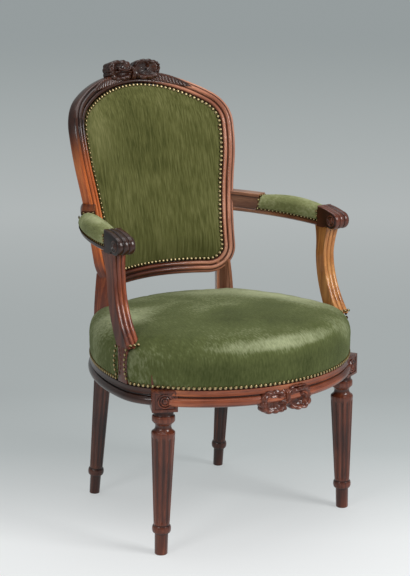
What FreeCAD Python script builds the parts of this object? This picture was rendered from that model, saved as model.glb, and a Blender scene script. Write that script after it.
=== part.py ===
import FreeCAD, Part
import math
import os

V = FreeCAD.Vector

# Fauteuil en cabriolet: millimetres, +Z up, the sitter faces -Y.
# Names ending in _Z are heights above the floor; plan sizes are measured from the
# centre of the bow of the front rail, and the last section moves that to the footprint's centre.

# Seat frame in plan
BOW_R = 300.0               # bow of the front rail
CORNER_R = 100.0            # turn between front and side
SIDE_R = 450.0              # long sweep of the side rail
SEAT_HALF_WIDTH = 264.0
SIDE_PAST_POST = 8.3        # how far the side sweep runs past the back leg's axis
BACK_RAIL_R = 300.0
BACK_RAIL_MID_Y = 195.0
BACK_RAIL_END_DEG = 28.0

# Seat rail section
RAIL_BOTTOM_Z = 297.0
RAIL_HEIGHT = 60.0
RAIL_THICKNESS = 28.0
TORUS_HEIGHT = 18.0
TORUS_BULGE = 5.0
HOLLOW_HEIGHT = 3.0
FASCIA_HEIGHT = 12.0
FASCIA_PROUD = 1.0
REBATE_DEPTH = 3.0          # room for the velvet and its nails

# Front leg
FRONT_LEG_DEG = -40.74      # its place round the bow
FRONT_LEG_INSET = 14.2      # leg axis behind the bow's line
FRONT_LEG_SPLAY_DEG = 1.6
FRONT_BLOCK_TURN_DEG = 26.0
FRONT_BLOCK_WIDTH = 47.0
FRONT_BLOCK_PROUD = 27.0    # leg axis to the face with the rosette
FRONT_BLOCK_BEHIND = 22.0
FRONT_BLOCK_DROP = 9.5      # block below the rails
ROSETTE_R = 14.0
ROSETTE_PANEL = 37.0
ROSETTE_SINK = 2.0
FRONT_SHAFT_TOP_R = 22.8
FRONT_SHAFT_FOOT_R = 15.4
FRONT_SHAFT_TOP_Z = 238.0
NECK_R = 14.8
NECK_Z = 256.0
COLLAR_R = 22.6
FRONT_RING_R = 17.2
FRONT_FOOT_R = 12.5

# Back leg and post
BACK_LEG_Y = 142.0
POST_INSET = 23.5           # leg axis in from the end of the side sweep
BACK_FOOT_SPLAY = 6.9
BACK_FOOT_REAR = 36.1
POST_TURN_DEG = 28.0
POST_WIDTH = 38.0
POST_DEPTH = 34.0
BACK_SHAFT_TOP_R = 18.6
BACK_SHAFT_FOOT_R = 13.6
BACK_RING_R = 15.6
BACK_FOOT_R = 10.8

# Rings, feet and flutes of all four legs
RING_TOP_Z = 59.0
RING_HEIGHT = 16.0
FLUTES = 10
FLUTE_SHARE = 0.66          # flute width over its share of the girth
FLUTE_DEPTH = 2.4
SOLE_SPARE = 4.0            # sawn off level with the floor
TURNED_SIDES = 20           # flats that stand for the round of a turning
CHORD_DEG = 6.0             # longest step of a curve drawn with chords
CHORD_LENGTH = 34.0
SHARP_R = 60.0              # turns tighter than this get SHARP_CHORDS
SHARP_CHORDS = 7

# Back: a surface raked back and curved in plan, with the show-wood face on it
BACK_DATUM_Z = 650.0
BACK_DATUM_Y = 197.0
BACK_RAKE_DEG = 13.9
BACK_CURVE_R = 300.0
FRAME_THICKNESS = 28.0

# Sight line of the back, the inner edge of the moulding, as tangent arcs from the top
SIGHT_TOP_Z = 863.0
SIGHT_ARCH_R = 262.0
SIGHT_ARCH_DEG = 33.8
SIGHT_SHOULDER_R = 50.0
SIGHT_CHEEK_R = 500.0
SIGHT_CHEEK_DEG = 10.0
SIGHT_WAIST_R = 1290.0
SIGHT_WAIST_DEG = 7.7
SIGHT_FOOT_R = 34.0
SIGHT_FOOT_LIFT_DEG = 2.7   # rise of the bottom line towards the middle

# Moulding of the back frame, across its face from the sight line
REBATE_WIDTH = 9.0
REBATE_FLOOR = 8.0
INNER_BEAD = 9.5
OUTER_BEAD = 8.5
QUIRK = 1.5                 # narrow groove beside a bead
EDGE_WIDTH = 4.5
INNER_BEAD_DEPTH = -0.4     # top of the bead behind the show face
OUTER_BEAD_DEPTH = 0.4
QUIRK_DEPTH = 3.8
EDGE_DEPTH = 8.5            # where the rounded outer edge begins
REAR_CHAMFER = 4.0
CREST_JOINT_Z = 800.0
LOWER_RAIL_HALF = 112.0

# Ribbon bow on the crest and ribbon on the front rail
BOW_CENTRE_Z = 892.0
BOW_LOOP_X = 27.0
BOW_LOOP_R = 19.0
BOW_END_X = 52.0
BOW_END_R = 15.0
BOW_KNOT_R = 12.0
BOW_PROUD = 8.0
BOW_OVER_FACE = -6.0        # how far the knot comes down over the moulding
APRON_Z = 306.0
APRON_KNOT_R = 10.0
APRON_LOBE_X = 19.0
APRON_LOBE_R = 18.0
APRON_LEAF_X = 43.0
APRON_LEAF_R = 13.0
APRON_PROUD = 8.0
APRON_BEHIND = 9.0

# Arm
ARM_ROOT_X = 180.0
ARM_ROOT_Y = 150.0
ARM_ROOT_DEG = 35.0         # outward of straight ahead
ARM_AHEAD_DEG = 3.0
ARM_SWEEP_R = 420.0
ARM_STRAIGHT = 44.0
ARM_WIDTH = 33.0
ARM_BLOCK_WIDTH = 29.0
ARM_ROOT_BEHIND = -8.0      # let into the stile
ARM_BED = 11.0
ARM_UNDER_BACK_Z = 588.0
ARM_UNDER_FRONT_Z = 575.0
ARM_HEIGHT = 43.0
PAD_START = 68.0            # along the arm from its root
PAD_END = 236.0
PAD_WIDTH = 45.0
PAD_CROWN = 8.0
SCROLL_R = 18.0
SCROLL_WIDTH = 37.0
REEDS = 3
REED_RISE = 2.2
VOLUTE_EYE_R = 4.5
VOLUTE_EYE_RISE = 1.5
PANEL_SINK = 1.5

# Arm support
SUPPORT_INSET = 11.0        # its middle in from the seat's widest line
SUPPORT_LEAN = 4.5          # outward towards the arm
SUPPORT_WIDTH = 28.0
SUPPORT_DEPTH = 28.0
SUPPORT_WAIST_Z = 525.0
SUPPORT_WAIST_Y = -94.0     # front face at the waist
SUPPORT_SEAT_Z = 402.0
SUPPORT_FRONT_SWEEP = 50.0
SUPPORT_REAR_SWEEP = 36.0
SUPPORT_HEAD_FLARE = 7.0
SUPPORT_GROOVE = 2.2
SUPPORT_FOOT_Y = -117.0
SUPPORT_FOOT_DEPTH = 31.0

# Upholstery
SEAT_EDGE_Z = 372.0
SEAT_SHOULDER_Z = 402.0
SEAT_CROWN_Z = 434.0
SEAT_BULGE = 9.0
SEAT_SHOULDER_R = 24.0
COVER_THICKNESS = 2.0
COVER_EDGE_RISE = 2.5       # depth of the back cover's edge behind the show face
BACK_CROWN = 15.0
STRAP_WIDTH = 60.0
STRAP_THICKNESS = 1.2
SEAT_STRAPS = 5
SEAT_STRAP_SPAN = 320.0
BACK_STRAP_STEP = 90.0
BACK_STRAP_RISE = 103.0
OUTSIDE_LAP = 12.0
HESSIAN_THICKNESS = 0.8
BACK_STRAPS_REAR = 7.3      # depth of the rearmost webbing, just on the rebate
STRAP_END = -4.2            # webbing ends this far inside the sight line
COVER_FOOT = 7.3            # depth where the back cover's edge stands on the rebate
CURVE_FIT = 0.6             # room between curved faces that are drawn with different chords
NAIL_HEAD_R = 4.2
NAIL_HEAD_RISE = 2.4
NAIL_SPACING = 9.8
NAIL_SIDES = 6

# Joinery
TENON_LENGTH = 16.0
TENON_THICKNESS = 9.0
TENON_SHOULDER = 10.0       # rail above and below the tenon
TENON_ROOT = 6.0            # how far the tenon is drawn back into its rail
TENON_FIT = 0.15
FRONT_TENON_OUT = 9.5       # front rail's tenon, outward of the leg's axis
SIDE_TENON_IN = 9.4         # side rail's tenon, inward of the leg's axis
SIDE_TENON_REAR = 2.3       # side rail's tenon, behind the post's axis
BACK_TENON_AHEAD = 4.1      # back rail's tenon, ahead of the post's axis
PEG_R = 3.0
PEG_LENGTH = 32.0
PEG_SIDES = 8               # whittled, not turned
PEG_FIT = 0.1
PEG_FROM_SHOULDER = 8.0
BLOCK_HEIGHT = 32.0
BLOCK_THICKNESS = 24.0
BLOCK_GAP = 6.0             # leg block to the middle of the corner block, less half its thickness
SCREW_HEAD_R = 4.5
SCREW_SHANK_R = 2.2
SCREW_TIP_R = 1.4
SCREW_HEAD_HEIGHT = 3.0
SCREW_LENGTH = 40.0
SCREW_SIDES = 6
SCREW_REACH = 30.0          # screws each side of the leg, along the corner block
CLEAR = 0.3                 # between soft pieces and what they meet
SOFT_FIT = 1.2              # stuffing inside its cover


# Small helpers

def rad(degrees):
    return math.radians(degrees)


def polar(centre, radius, degrees):
    return (centre[0] + radius * math.cos(rad(degrees)), centre[1] + radius * math.sin(rad(degrees)))


def chord_count(degrees):
    return max(1, math.ceil(abs(degrees) / CHORD_DEG))


def bow(a, middle, b, chords=4):
    """Points along the arc through three points, as a moulding is cut in flats before it is scraped round."""
    return Part.Arc(a, middle, b).toShape().discretize(chords + 1)


def polygon(points):
    return Part.makePolygon(list(points) + [points[0]])


def flat_faces(a, b, c, d):
    """One flat face over four corners, or two where they are twisted."""
    if abs((b - a).cross(c - a).normalize().dot(d - a)) < 1e-6:
        return [Part.Face(polygon([a, b, c, d]))]
    return [Part.Face(polygon([a, b, c])), Part.Face(polygon([a, c, d]))]


def closing(ring, centre):
    """Closes a ring: flat where no centre is given, else as a fan of flats about the centre."""
    if centre is None:
        return [Part.Face(polygon(ring))]
    return [Part.Face(polygon([a, b, centre])) for a, b in zip(ring, ring[1:] + ring[:1])]


def skin(rings, first_centre=None, last_centre=None):
    """Solid through closed rings of points, all flat faces."""
    faces = closing(rings[0], first_centre) + closing(rings[-1], last_centre)
    for low, high in zip(rings, rings[1:]):
        for i in range(len(low)):
            j = (i + 1) % len(low)
            faces += flat_faces(low[i], low[j], high[j], high[i])
    shell = Part.Shell(faces)
    shell.sewShape()
    solid = Part.Solid(shell)
    if solid.Volume < 0:
        solid.reverse()
    return solid


def stations(start, end, count):
    return [start + (end - start) * i / (count - 1) for i in range(count)]


def mirrored(shape):
    return shape.mirror(V(0, 0, 0), V(1, 0, 0))


def joined(shapes):
    whole = shapes[0]
    if len(shapes) > 1:
        whole = shapes[0].fuse(shapes[1:])
    return whole


def largest(shape):
    return max(shape.Solids, key=lambda solid: solid.Volume)


def turned_box(width, depth, height, centre, degrees, z):
    """A box whose width runs across the direction that faces `degrees` right of the front."""
    box = Part.makeBox(width, depth, height, V(-width / 2, -depth / 2, 0))
    box.rotate(V(0, 0, 0), V(0, 0, 1), degrees)
    box.translate(V(centre[0], centre[1], z))
    return box


def side_name(stem, right):
    return stem + ("_right" if right else "_left")


# Plan of the seat, as arcs that can be offset

RAIL_TOP_Z = RAIL_BOTTOM_Z + RAIL_HEIGHT
REBATE_RISE = TORUS_HEIGHT + HOLLOW_HEIGHT + FASCIA_HEIGHT
CORNER_DEG = -math.degrees(math.acos((SEAT_HALF_WIDTH - CORNER_R) / (BOW_R - CORNER_R)))
CORNER_CENTRE = polar((0, 0), BOW_R - CORNER_R, CORNER_DEG)
SIDE_CENTRE = (SEAT_HALF_WIDTH - SIDE_R, CORNER_CENTRE[1])
SIDE_END_DEG = math.degrees(math.asin((BACK_LEG_Y + SIDE_PAST_POST - SIDE_CENTRE[1]) / SIDE_R))
FRONT_LEG_X, FRONT_LEG_Y = polar((0, 0), BOW_R - FRONT_LEG_INSET, FRONT_LEG_DEG)
BACK_LEG_X = polar(SIDE_CENTRE, SIDE_R, SIDE_END_DEG)[0] - POST_INSET
BACK_FOOT_X = BACK_LEG_X + BACK_FOOT_SPLAY
BACK_FOOT_Y = BACK_LEG_Y + BACK_FOOT_REAR
BACK_CENTRE = (0.0, BACK_RAIL_MID_Y - BACK_RAIL_R)


def sweep_stops(centre, radius, start, end):
    """(centre, radius, degrees) at even steps along one arc of the plan."""
    return [(centre, radius, degrees) for degrees in stations(start, end, chord_count(end - start) + 1)]


BOW_STOPS = sweep_stops((0, 0), BOW_R, -90, CORNER_DEG)
CORNER_STOPS = sweep_stops(CORNER_CENTRE, CORNER_R, CORNER_DEG, 0)[1:]
SIDE_STOPS = sweep_stops(SIDE_CENTRE, SIDE_R, 0, SIDE_END_DEG)[1:]
BACK_STOPS = sweep_stops(BACK_CENTRE, BACK_RAIL_R, 90 - BACK_RAIL_END_DEG, 90)


def both_halves(right):
    """Completes a line of points that starts and ends on the middle of the chair."""
    return right + [V(-point.x, point.y, point.z) for point in reversed(right[1:-1])]


def seat_ring(offset, z, shrink=1.0):
    """Points round the seat at one height, offset outward, then drawn in about its middle."""
    middle_y = (BACK_RAIL_MID_Y - BOW_R) / 2
    right = []
    for centre, radius, degrees in BOW_STOPS + CORNER_STOPS + SIDE_STOPS + BACK_STOPS:
        x, y = polar(centre, radius + offset, degrees)
        right.append(V(x * shrink, middle_y + (y - middle_y) * shrink, z))
    return both_halves(right)


def seat_slab(offset, low_z, high_z):
    return Part.Face(polygon(seat_ring(offset, low_z))).extrude(V(0, 0, high_z - low_z))


# Seat rails

def rail_profile():
    """Section of a seat rail as (outward, z) from the seat line: torus, hollow, fascia, rebate, inner face."""
    torus_top = RAIL_BOTTOM_Z + TORUS_HEIGHT
    fascia_low = torus_top + HOLLOW_HEIGHT
    fascia_high = fascia_low + FASCIA_HEIGHT
    torus = bow(V(-REBATE_DEPTH, 0, RAIL_BOTTOM_Z), V(TORUS_BULGE, 0, (RAIL_BOTTOM_Z + torus_top) / 2),
                V(-REBATE_DEPTH, 0, torus_top))
    return [(point.x, point.z) for point in torus] + [
        (-REBATE_DEPTH, fascia_low),
        (FASCIA_PROUD, fascia_low),
        (FASCIA_PROUD, fascia_high),
        (-REBATE_DEPTH, fascia_high),
        (-REBATE_DEPTH, RAIL_TOP_Z),
        (-RAIL_THICKNESS, RAIL_TOP_Z),
        (-RAIL_THICKNESS, RAIL_BOTTOM_Z),
    ]


def moulded_rail(stops):
    """Rail along the plan's line, moulded to the seat rail's section."""
    rings = []
    for centre, radius, degrees in stops:
        places = [(polar(centre, radius + out, degrees), z) for out, z in rail_profile()]
        rings.append([V(x, y, z) for (x, y), z in places])
    return skin(rings)


def mirrored_stops(stops):
    """The same stops on the other side of the middle, in the order that leads up to it."""
    return [((-centre[0], centre[1]), radius, 180 - degrees) for centre, radius, degrees in reversed(stops)]


def front_block():
    """The square top of the right front leg."""
    low = RAIL_BOTTOM_Z - FRONT_BLOCK_DROP
    depth = FRONT_BLOCK_PROUD + FRONT_BLOCK_BEHIND
    box = Part.makeBox(FRONT_BLOCK_WIDTH, depth, RAIL_TOP_Z - low,
                       V(-FRONT_BLOCK_WIDTH / 2, -FRONT_BLOCK_PROUD, low))
    box.rotate(V(0, 0, 0), V(0, 0, 1), FRONT_BLOCK_TURN_DEG)
    box.translate(V(FRONT_LEG_X, FRONT_LEG_Y, 0))
    return box


def post_centre(z):
    """Axis of the right back post: upright above the rails, raked back below them."""
    share = min(1.0, max(0.0, (z - RAIL_BOTTOM_Z) / (LOWER_CORNER_Z - RAIL_BOTTOM_Z)))
    x = BACK_LEG_X + (POST_HEAD[0] - BACK_LEG_X) * share
    y = BACK_LEG_Y + (POST_HEAD[1] - BACK_LEG_Y) * share
    return x, y


def post_section(z, grow=0.0):
    half_width = POST_WIDTH / 2 + grow
    half_depth = POST_DEPTH / 2 + grow
    cx, cy = post_centre(z)
    turn = rad(-POST_TURN_DEG)
    points = []
    for u, v in ((-half_width, -half_depth), (half_width, -half_depth),
                 (half_width, half_depth), (-half_width, half_depth)):
        points.append(V(cx + u * math.cos(turn) - v * math.sin(turn), cy + u * math.sin(turn) + v * math.cos(turn), z))
    return points


def post(low_z, high_z, grow=0.0):
    return skin([post_section(low_z, grow), post_section(high_z, grow)])


# Surface and sight line of the back

def back_y(x, z):
    """Y of the show face of the back at one place of its elevation."""
    rake = (z - BACK_DATUM_Z) * math.tan(rad(BACK_RAKE_DEG))
    return BACK_DATUM_Y + rake - (BACK_CURVE_R - math.sqrt(BACK_CURVE_R ** 2 - x * x))


def back_normal(x, z):
    """Unit normal of the back surface, pointing to the rear."""
    slope_x = x / math.sqrt(BACK_CURVE_R ** 2 - x * x)
    slope_z = math.tan(rad(BACK_RAKE_DEG))
    return V(slope_x, 1, -slope_z).normalize()


def back_point(x, z, behind=0.0):
    return V(x, back_y(x, z), z) + back_normal(x, z) * behind


def sight_arcs():
    """The right half of the sight line as (radius, turn) pairs, clockwise positive, top to bottom."""
    down = 90.0
    shoulder = down - SIGHT_ARCH_DEG
    corner = 90.0 - SIGHT_CHEEK_DEG + SIGHT_WAIST_DEG + SIGHT_FOOT_LIFT_DEG
    return [
        (SIGHT_ARCH_R, SIGHT_ARCH_DEG),
        (SIGHT_SHOULDER_R, shoulder),
        (SIGHT_CHEEK_R, SIGHT_CHEEK_DEG),
        (SIGHT_WAIST_R, -SIGHT_WAIST_DEG),
        (SIGHT_FOOT_R, corner),
    ]


def step_arc(x, z, heading, radius, turn):
    """End of an arc that starts at (x, z) along `heading` and turns clockwise by `turn` degrees."""
    side = 1 if turn > 0 else -1
    cx = x + side * radius * math.sin(rad(heading))
    cz = z - side * radius * math.cos(rad(heading))
    heading = heading - turn
    return cx - side * radius * math.sin(rad(heading)), cz + side * radius * math.cos(rad(heading)), heading


def sight_nodes():
    """(x, z, heading, radius, turn) where each arc of the right half starts, with the closing arc last."""
    x, z, heading = 0.0, SIGHT_TOP_Z, 0.0
    nodes = []
    for radius, turn in sight_arcs():
        nodes.append((x, z, heading, radius, turn))
        x, z, heading = step_arc(x, z, heading, radius, turn)
    rise = -180.0 - heading
    nodes.append((x, z, heading, x / math.sin(rad(abs(rise))), -abs(rise)))
    return nodes


SIGHT = sight_nodes()
SIGHT_LENGTHS = [radius * rad(abs(turn)) for x, z, heading, radius, turn in SIGHT]
SIGHT_TOTAL = sum(SIGHT_LENGTHS)


def sight(s):
    """(x, z, heading) at the distance s along the right half of the sight line, from its top."""
    side = 1
    if s < 0:
        side, s = -1, -s
    if s > SIGHT_TOTAL:
        x, z, heading = sight(2 * SIGHT_TOTAL - s)
        return -x, z, -heading
    for (x, z, heading, radius, turn), length in zip(SIGHT, SIGHT_LENGTHS):
        if s <= length + 1e-9:
            part = turn * s / length
            x, z, heading = step_arc(x, z, heading, radius, part)
            break
        s -= length
    return (x, z, heading) if side > 0 else (-x, z, -heading)


def sight_at_z(z):
    """Distance along the right half where the sight line first comes down to the height z."""
    low, high = 0.0, sum(SIGHT_LENGTHS[:4])
    for _ in range(50):
        middle = (low + high) / 2
        if sight(middle)[1] > z:
            low = middle
        else:
            high = middle
    return low


def sight_at_x(x):
    """Distance along the lower line where it comes in to the half width x."""
    low, high = sum(SIGHT_LENGTHS[:5]) - SIGHT_LENGTHS[4] / 2, SIGHT_TOTAL
    for _ in range(50):
        middle = (low + high) / 2
        if sight(middle)[0] > x:
            low = middle
        else:
            high = middle
    return low


def sight_frame(s):
    """Place on the face, direction outward across the member, and direction to the rear."""
    x, z, heading = sight(s)
    ahead = 0.5
    xa, za, _ = sight(s + ahead)
    xb, zb, _ = sight(s - ahead)
    along = (V(xa, back_y(xa, za), za) - V(xb, back_y(xb, zb), zb)).normalize()
    rear = back_normal(x, z)
    outward = rear.cross(along).normalize() * -1
    if outward.x * (-math.sin(rad(heading))) + outward.z * math.cos(rad(heading)) < 0:
        outward = outward * -1
    return V(x, back_y(x, z), z), outward, rear


def sight_point(s, across, behind):
    place, outward, rear = sight_frame(s)
    return place + outward * across + rear * behind


def sight_stops(start, end):
    """Distances along the sight line between two places, with every arc cut into short chords."""
    bounds = [0.0]
    for length in SIGHT_LENGTHS:
        bounds.append(bounds[-1] + length)
    half = []
    for (low, high), (x, z, heading, radius, turn) in zip(zip(bounds, bounds[1:]), SIGHT):
        count = max(chord_count(turn), round((high - low) / CHORD_LENGTH)) if radius > SHARP_R else SHARP_CHORDS
        half += stations(low, high, count + 1)[:-1]
    round_trip = [-stop for stop in reversed(half[1:])] + half + [SIGHT_TOTAL]
    round_trip += [2 * SIGHT_TOTAL - stop for stop in reversed(half)]
    margin = 1.0
    inside = [stop for stop in round_trip if start + margin < stop < end - margin]
    return [start] + inside + [end]


def sight_ring(across):
    """Points (x, z) of the sight line offset across the face, right round."""
    points = []
    for s in sight_stops(0.0, 2 * SIGHT_TOTAL)[:-1]:
        x, z, heading = sight(s)
        points.append((x - across * math.sin(rad(heading)), z + across * math.cos(rad(heading))))
    return points


def sight_prism(across):
    ahead = BACK_CURVE_R
    ring = [V(x, -ahead, z) for x, z in sight_ring(across)]
    return Part.Face(polygon(ring)).extrude(V(0, 3 * ahead, 0))


LOWER_CORNER_Z = SIGHT[4][1] - SIGHT_FOOT_R
SIGHT_BOTTOM_Z = SIGHT[5][1]
BACK_REACH = BACK_CURVE_R * 2 / 3
FACE_WIDTH = INNER_BEAD + OUTER_BEAD + 2 * QUIRK + EDGE_WIDTH + 2
head_x = SIGHT[4][0] - SIGHT_FOOT_R * 0.25
head = back_point(head_x, LOWER_CORNER_Z, FRAME_THICKNESS * 0.62)
POST_HEAD = (head.x, head.y)


# Moulded members of the back frame

def frame_section(s):
    """Closed section of the back frame at one station: rebate, two beads with quirks, rounded edge."""
    def p(across, behind):
        return sight_point(s, across, behind)

    inner_start = QUIRK / 2
    inner_end = inner_start + INNER_BEAD
    outer_start = inner_end + QUIRK
    outer_end = outer_start + OUTER_BEAD
    edge_start = outer_end + QUIRK
    edge = edge_start + EDGE_WIDTH
    points = [p(-REBATE_WIDTH, FRAME_THICKNESS), p(-REBATE_WIDTH, REBATE_FLOOR), p(0, REBATE_FLOOR)]
    points += bow(p(inner_start, QUIRK_DEPTH), p((inner_start + inner_end) / 2, INNER_BEAD_DEPTH),
                  p(inner_end, QUIRK_DEPTH))
    points += bow(p(outer_start, QUIRK_DEPTH), p((outer_start + outer_end) / 2, OUTER_BEAD_DEPTH),
                  p(outer_end, QUIRK_DEPTH))
    points += [p(edge_start, QUIRK_DEPTH), p(edge, EDGE_DEPTH), p(edge, FRAME_THICKNESS - REAR_CHAMFER),
               p(edge - REAR_CHAMFER, FRAME_THICKNESS)]
    return points


def frame_member(start, end):
    return skin([frame_section(s) for s in sight_stops(start, end)])


CREST_JOINT = sight_at_z(CREST_JOINT_Z)
FOOT_JOINT = sight_at_x(LOWER_RAIL_HALF)


def stile():
    return frame_member(CREST_JOINT, FOOT_JOINT)


def crest_rail():
    """Crest rail with the tied ribbon carved in the same wood."""
    return frame_member(-CREST_JOINT, CREST_JOINT).fuse(crest_bow())


def lower_back_rail():
    return frame_member(FOOT_JOINT, 2 * SIGHT_TOTAL - FOOT_JOINT)


# Turned legs

def turning(profile, sides=TURNED_SIDES):
    """Turned solid about Z from a half profile, given upward as (radius, z) or (radius, z, radius at mid height)."""
    points = [V(profile[0][0], 0, profile[0][1])]
    for after in profile[1:]:
        before = points[-1]
        end = V(after[0], 0, after[1])
        if len(after) == 3:
            points += bow(before, V(after[2], 0, (before.z + end.z) / 2), end, 3)[1:]
        else:
            points.append(end)
    rings = []
    for point in points:
        around = [polar((0, 0), point.x, 360.0 * i / sides) for i in range(sides)]
        rings.append([V(x, y, point.z) for x, y in around])
    return skin(rings)


def foot_profile(ring_r, foot_r, shaft_r):
    ring_low = RING_TOP_Z - RING_HEIGHT
    return [
        (foot_r, -SOLE_SPARE),
        (foot_r, ring_low),
        (ring_r - 2, ring_low),
        (ring_r - 2, RING_TOP_Z - 3, ring_r + 1.0),
        (shaft_r, RING_TOP_Z),
    ]


def fluted_section(radius, z):
    """Girth of the shaft at one height: a flat land and a hollow flute, repeated."""
    share = 360.0 / FLUTES
    flute = share * FLUTE_SHARE
    depth = FLUTE_DEPTH * radius / FRONT_SHAFT_TOP_R
    points = []
    for i in range(FLUTES):
        start = i * share
        places = [polar((0, 0), radius, start), polar((0, 0), radius - depth, start + flute / 2),
                  polar((0, 0), radius, start + flute)]
        points += bow(*[V(x, y, z) for x, y in places])
    return points


def fluted_shaft(top_r, top_z, foot_r):
    return skin([fluted_section(foot_r, RING_TOP_Z), fluted_section(top_r, top_z)])


def rosette():
    """Turned rosette of two rings and a boss, its back on the XZ plane, facing -Y."""
    step = ROSETTE_R / 5
    turned = turning([
        (step * 5, 0),
        (step * 5, step * 0.8),
        (step * 4.2, step),
        (step * 3.6, step * 0.35),
        (step * 3, step),
        (step * 2.2, step),
        (step * 1.8, step * 0.35),
        (step * 1.2, step * 1.3),
    ], 12)
    turned.rotate(V(0, 0, 0), V(1, 0, 0), 90)
    return turned


def front_leg():
    """Right front leg: block with a sunk rosette panel, collar, neck, fluted shaft, ring and foot."""
    block_low = RAIL_BOTTOM_Z - FRONT_BLOCK_DROP
    foot = turning(foot_profile(FRONT_RING_R, FRONT_FOOT_R, FRONT_SHAFT_FOOT_R))
    shaft = fluted_shaft(FRONT_SHAFT_TOP_R, FRONT_SHAFT_TOP_Z, FRONT_SHAFT_FOOT_R)
    head = turning([
        (FRONT_SHAFT_TOP_R, FRONT_SHAFT_TOP_Z),
        (FRONT_SHAFT_TOP_R, FRONT_SHAFT_TOP_Z + 5),
        (NECK_R, NECK_Z - 5),
        (NECK_R, NECK_Z),
        (COLLAR_R - 2, block_low - 17),
        (COLLAR_R - 2, block_low - 8, COLLAR_R + 1),
        (COLLAR_R - 4, block_low - 8),
        (COLLAR_R - 4, block_low + 2),
    ])
    turned = joined([foot, shaft, head])
    turned.translate(V(FRONT_LEG_X, FRONT_LEG_Y, 0))
    turned.rotate(V(FRONT_LEG_X, FRONT_LEG_Y, block_low), V(0, 1, 0), -FRONT_LEG_SPLAY_DEG)
    turned = turned.cut(floor_under(FRONT_LEG_X, FRONT_LEG_Y))
    block = front_block()
    panel_z = block_low + FRONT_BLOCK_WIDTH / 2
    panel = Part.makeBox(ROSETTE_PANEL, ROSETTE_SINK, ROSETTE_PANEL,
                         V(-ROSETTE_PANEL / 2, -FRONT_BLOCK_PROUD, panel_z - ROSETTE_PANEL / 2))
    boss = rosette()
    boss.translate(V(0, -FRONT_BLOCK_PROUD + ROSETTE_SINK, panel_z))
    for piece in (panel, boss):
        piece.rotate(V(0, 0, 0), V(0, 0, 1), FRONT_BLOCK_TURN_DEG)
        piece.translate(V(FRONT_LEG_X, FRONT_LEG_Y, 0))
    return block.cut(panel).fuse([turned, boss])


def floor_under(x, y):
    return Part.makeBox(200, 200, 20, V(x - 100, y - 100, -20))


def back_leg():
    """Right back leg, post and moulded stile, sawn from one plank."""
    run = math.hypot(BACK_FOOT_X - BACK_LEG_X, BACK_FOOT_Y - BACK_LEG_Y)
    length = math.hypot(run, RAIL_BOTTOM_Z)
    foot = turning(foot_profile(BACK_RING_R, BACK_FOOT_R, BACK_SHAFT_FOOT_R))
    shaft = fluted_shaft(BACK_SHAFT_TOP_R, length - 5, BACK_SHAFT_FOOT_R)
    head = turning([(BACK_SHAFT_TOP_R, length - 5), (BACK_SHAFT_TOP_R - 1, length + 2)])
    turned = joined([foot, shaft, head])
    turned.rotate(V(0, 0, 0), V(1, 0, 0), math.degrees(math.atan2(BACK_FOOT_Y - BACK_LEG_Y, RAIL_BOTTOM_Z)))
    turned.rotate(V(0, 0, 0), V(0, 1, 0), -math.degrees(math.atan2(BACK_FOOT_X - BACK_LEG_X, RAIL_BOTTOM_Z)))
    turned.translate(V(BACK_FOOT_X, BACK_FOOT_Y, 0))
    turned = turned.cut(floor_under(BACK_FOOT_X, BACK_FOOT_Y))
    column = post(RAIL_BOTTOM_Z, LOWER_CORNER_Z + 4)
    column = column.cut(behind_frame())
    return joined([stile(), column, turned])


def behind_frame():
    """Keeps the post's head behind the moulding and out of the back's opening."""
    front = back_slab(-60, 9.5).common(zone_above(LOWER_CORNER_Z - FACE_WIDTH))
    return front.fuse(sight_prism(-REBATE_WIDTH))


def zone_above(z):
    side = 4 * BOW_R
    return Part.makeBox(side, side, side, V(-side / 2, -side / 2, z))


# Slabs that follow the back surface

def back_ring(z, near, far, half):
    """Points round a horizontal cut of a slab that follows the back between two depths."""
    rings = []
    middle = BACK_DATUM_Y + (z - BACK_DATUM_Z) * math.tan(rad(BACK_RAKE_DEG))
    reach = math.degrees(math.asin(half / BACK_CURVE_R))
    for depth in (near, far):
        radius = BACK_CURVE_R + depth
        front = middle + depth / math.cos(rad(BACK_RAKE_DEG))
        line_points = []
        for degrees in stations(-reach, reach, chord_count(2 * reach) + 1):
            x = radius * math.sin(rad(degrees))
            line_points.append(V(x, front - radius * (1 - math.cos(rad(degrees))), z))
        rings.append(line_points)
    return rings[0] + rings[1][::-1]


def back_slab(near, far, half=BACK_REACH):
    """Slab between two depths behind the show face, taller than the whole back."""
    low = SIGHT_BOTTOM_Z - 2 * FRAME_THICKNESS
    high = SIGHT_TOP_Z + 2 * FRAME_THICKNESS
    return skin([back_ring(low, near, far, half), back_ring(high, near, far, half)])


# Ribbon carvings

def pin(x, z, radius, low_y, depth):
    """Round cutter or boss that runs front to back."""
    peg = turning([(radius, low_y), (radius, low_y + depth)], 16)
    peg.rotate(V(0, 0, 0), V(1, 0, 0), -90)
    peg.translate(V(x, 0, z))
    return peg


def crest_bow():
    """Tied ribbon standing on the crest and following its curve: two loops on each side of a knot."""
    ahead = -BACK_CURVE_R
    through = 3 * BACK_CURVE_R
    loops = [pin(0, BOW_CENTRE_Z - 3, BOW_KNOT_R, ahead, through)]
    for side in (-1, 1):
        loops.append(pin(side * BOW_LOOP_X, BOW_CENTRE_Z, BOW_LOOP_R, ahead, through))
        loops.append(pin(side * BOW_END_X, BOW_CENTRE_Z - 4, BOW_END_R, ahead, through))
    block = joined(loops).common(back_slab(-BOW_PROUD, FRAME_THICKNESS * 0.75, 100.0))
    hollows = [pin(side * BOW_LOOP_X, BOW_CENTRE_Z + 2, BOW_LOOP_R * 0.4, ahead, through) for side in (-1, 1)]
    dish = joined(hollows).common(back_slab(-2 * BOW_PROUD, BOW_PROUD * 0.3, 100.0))
    return block.cut(dish).common(zone_above(SIGHT_TOP_Z - BOW_OVER_FACE))


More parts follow.
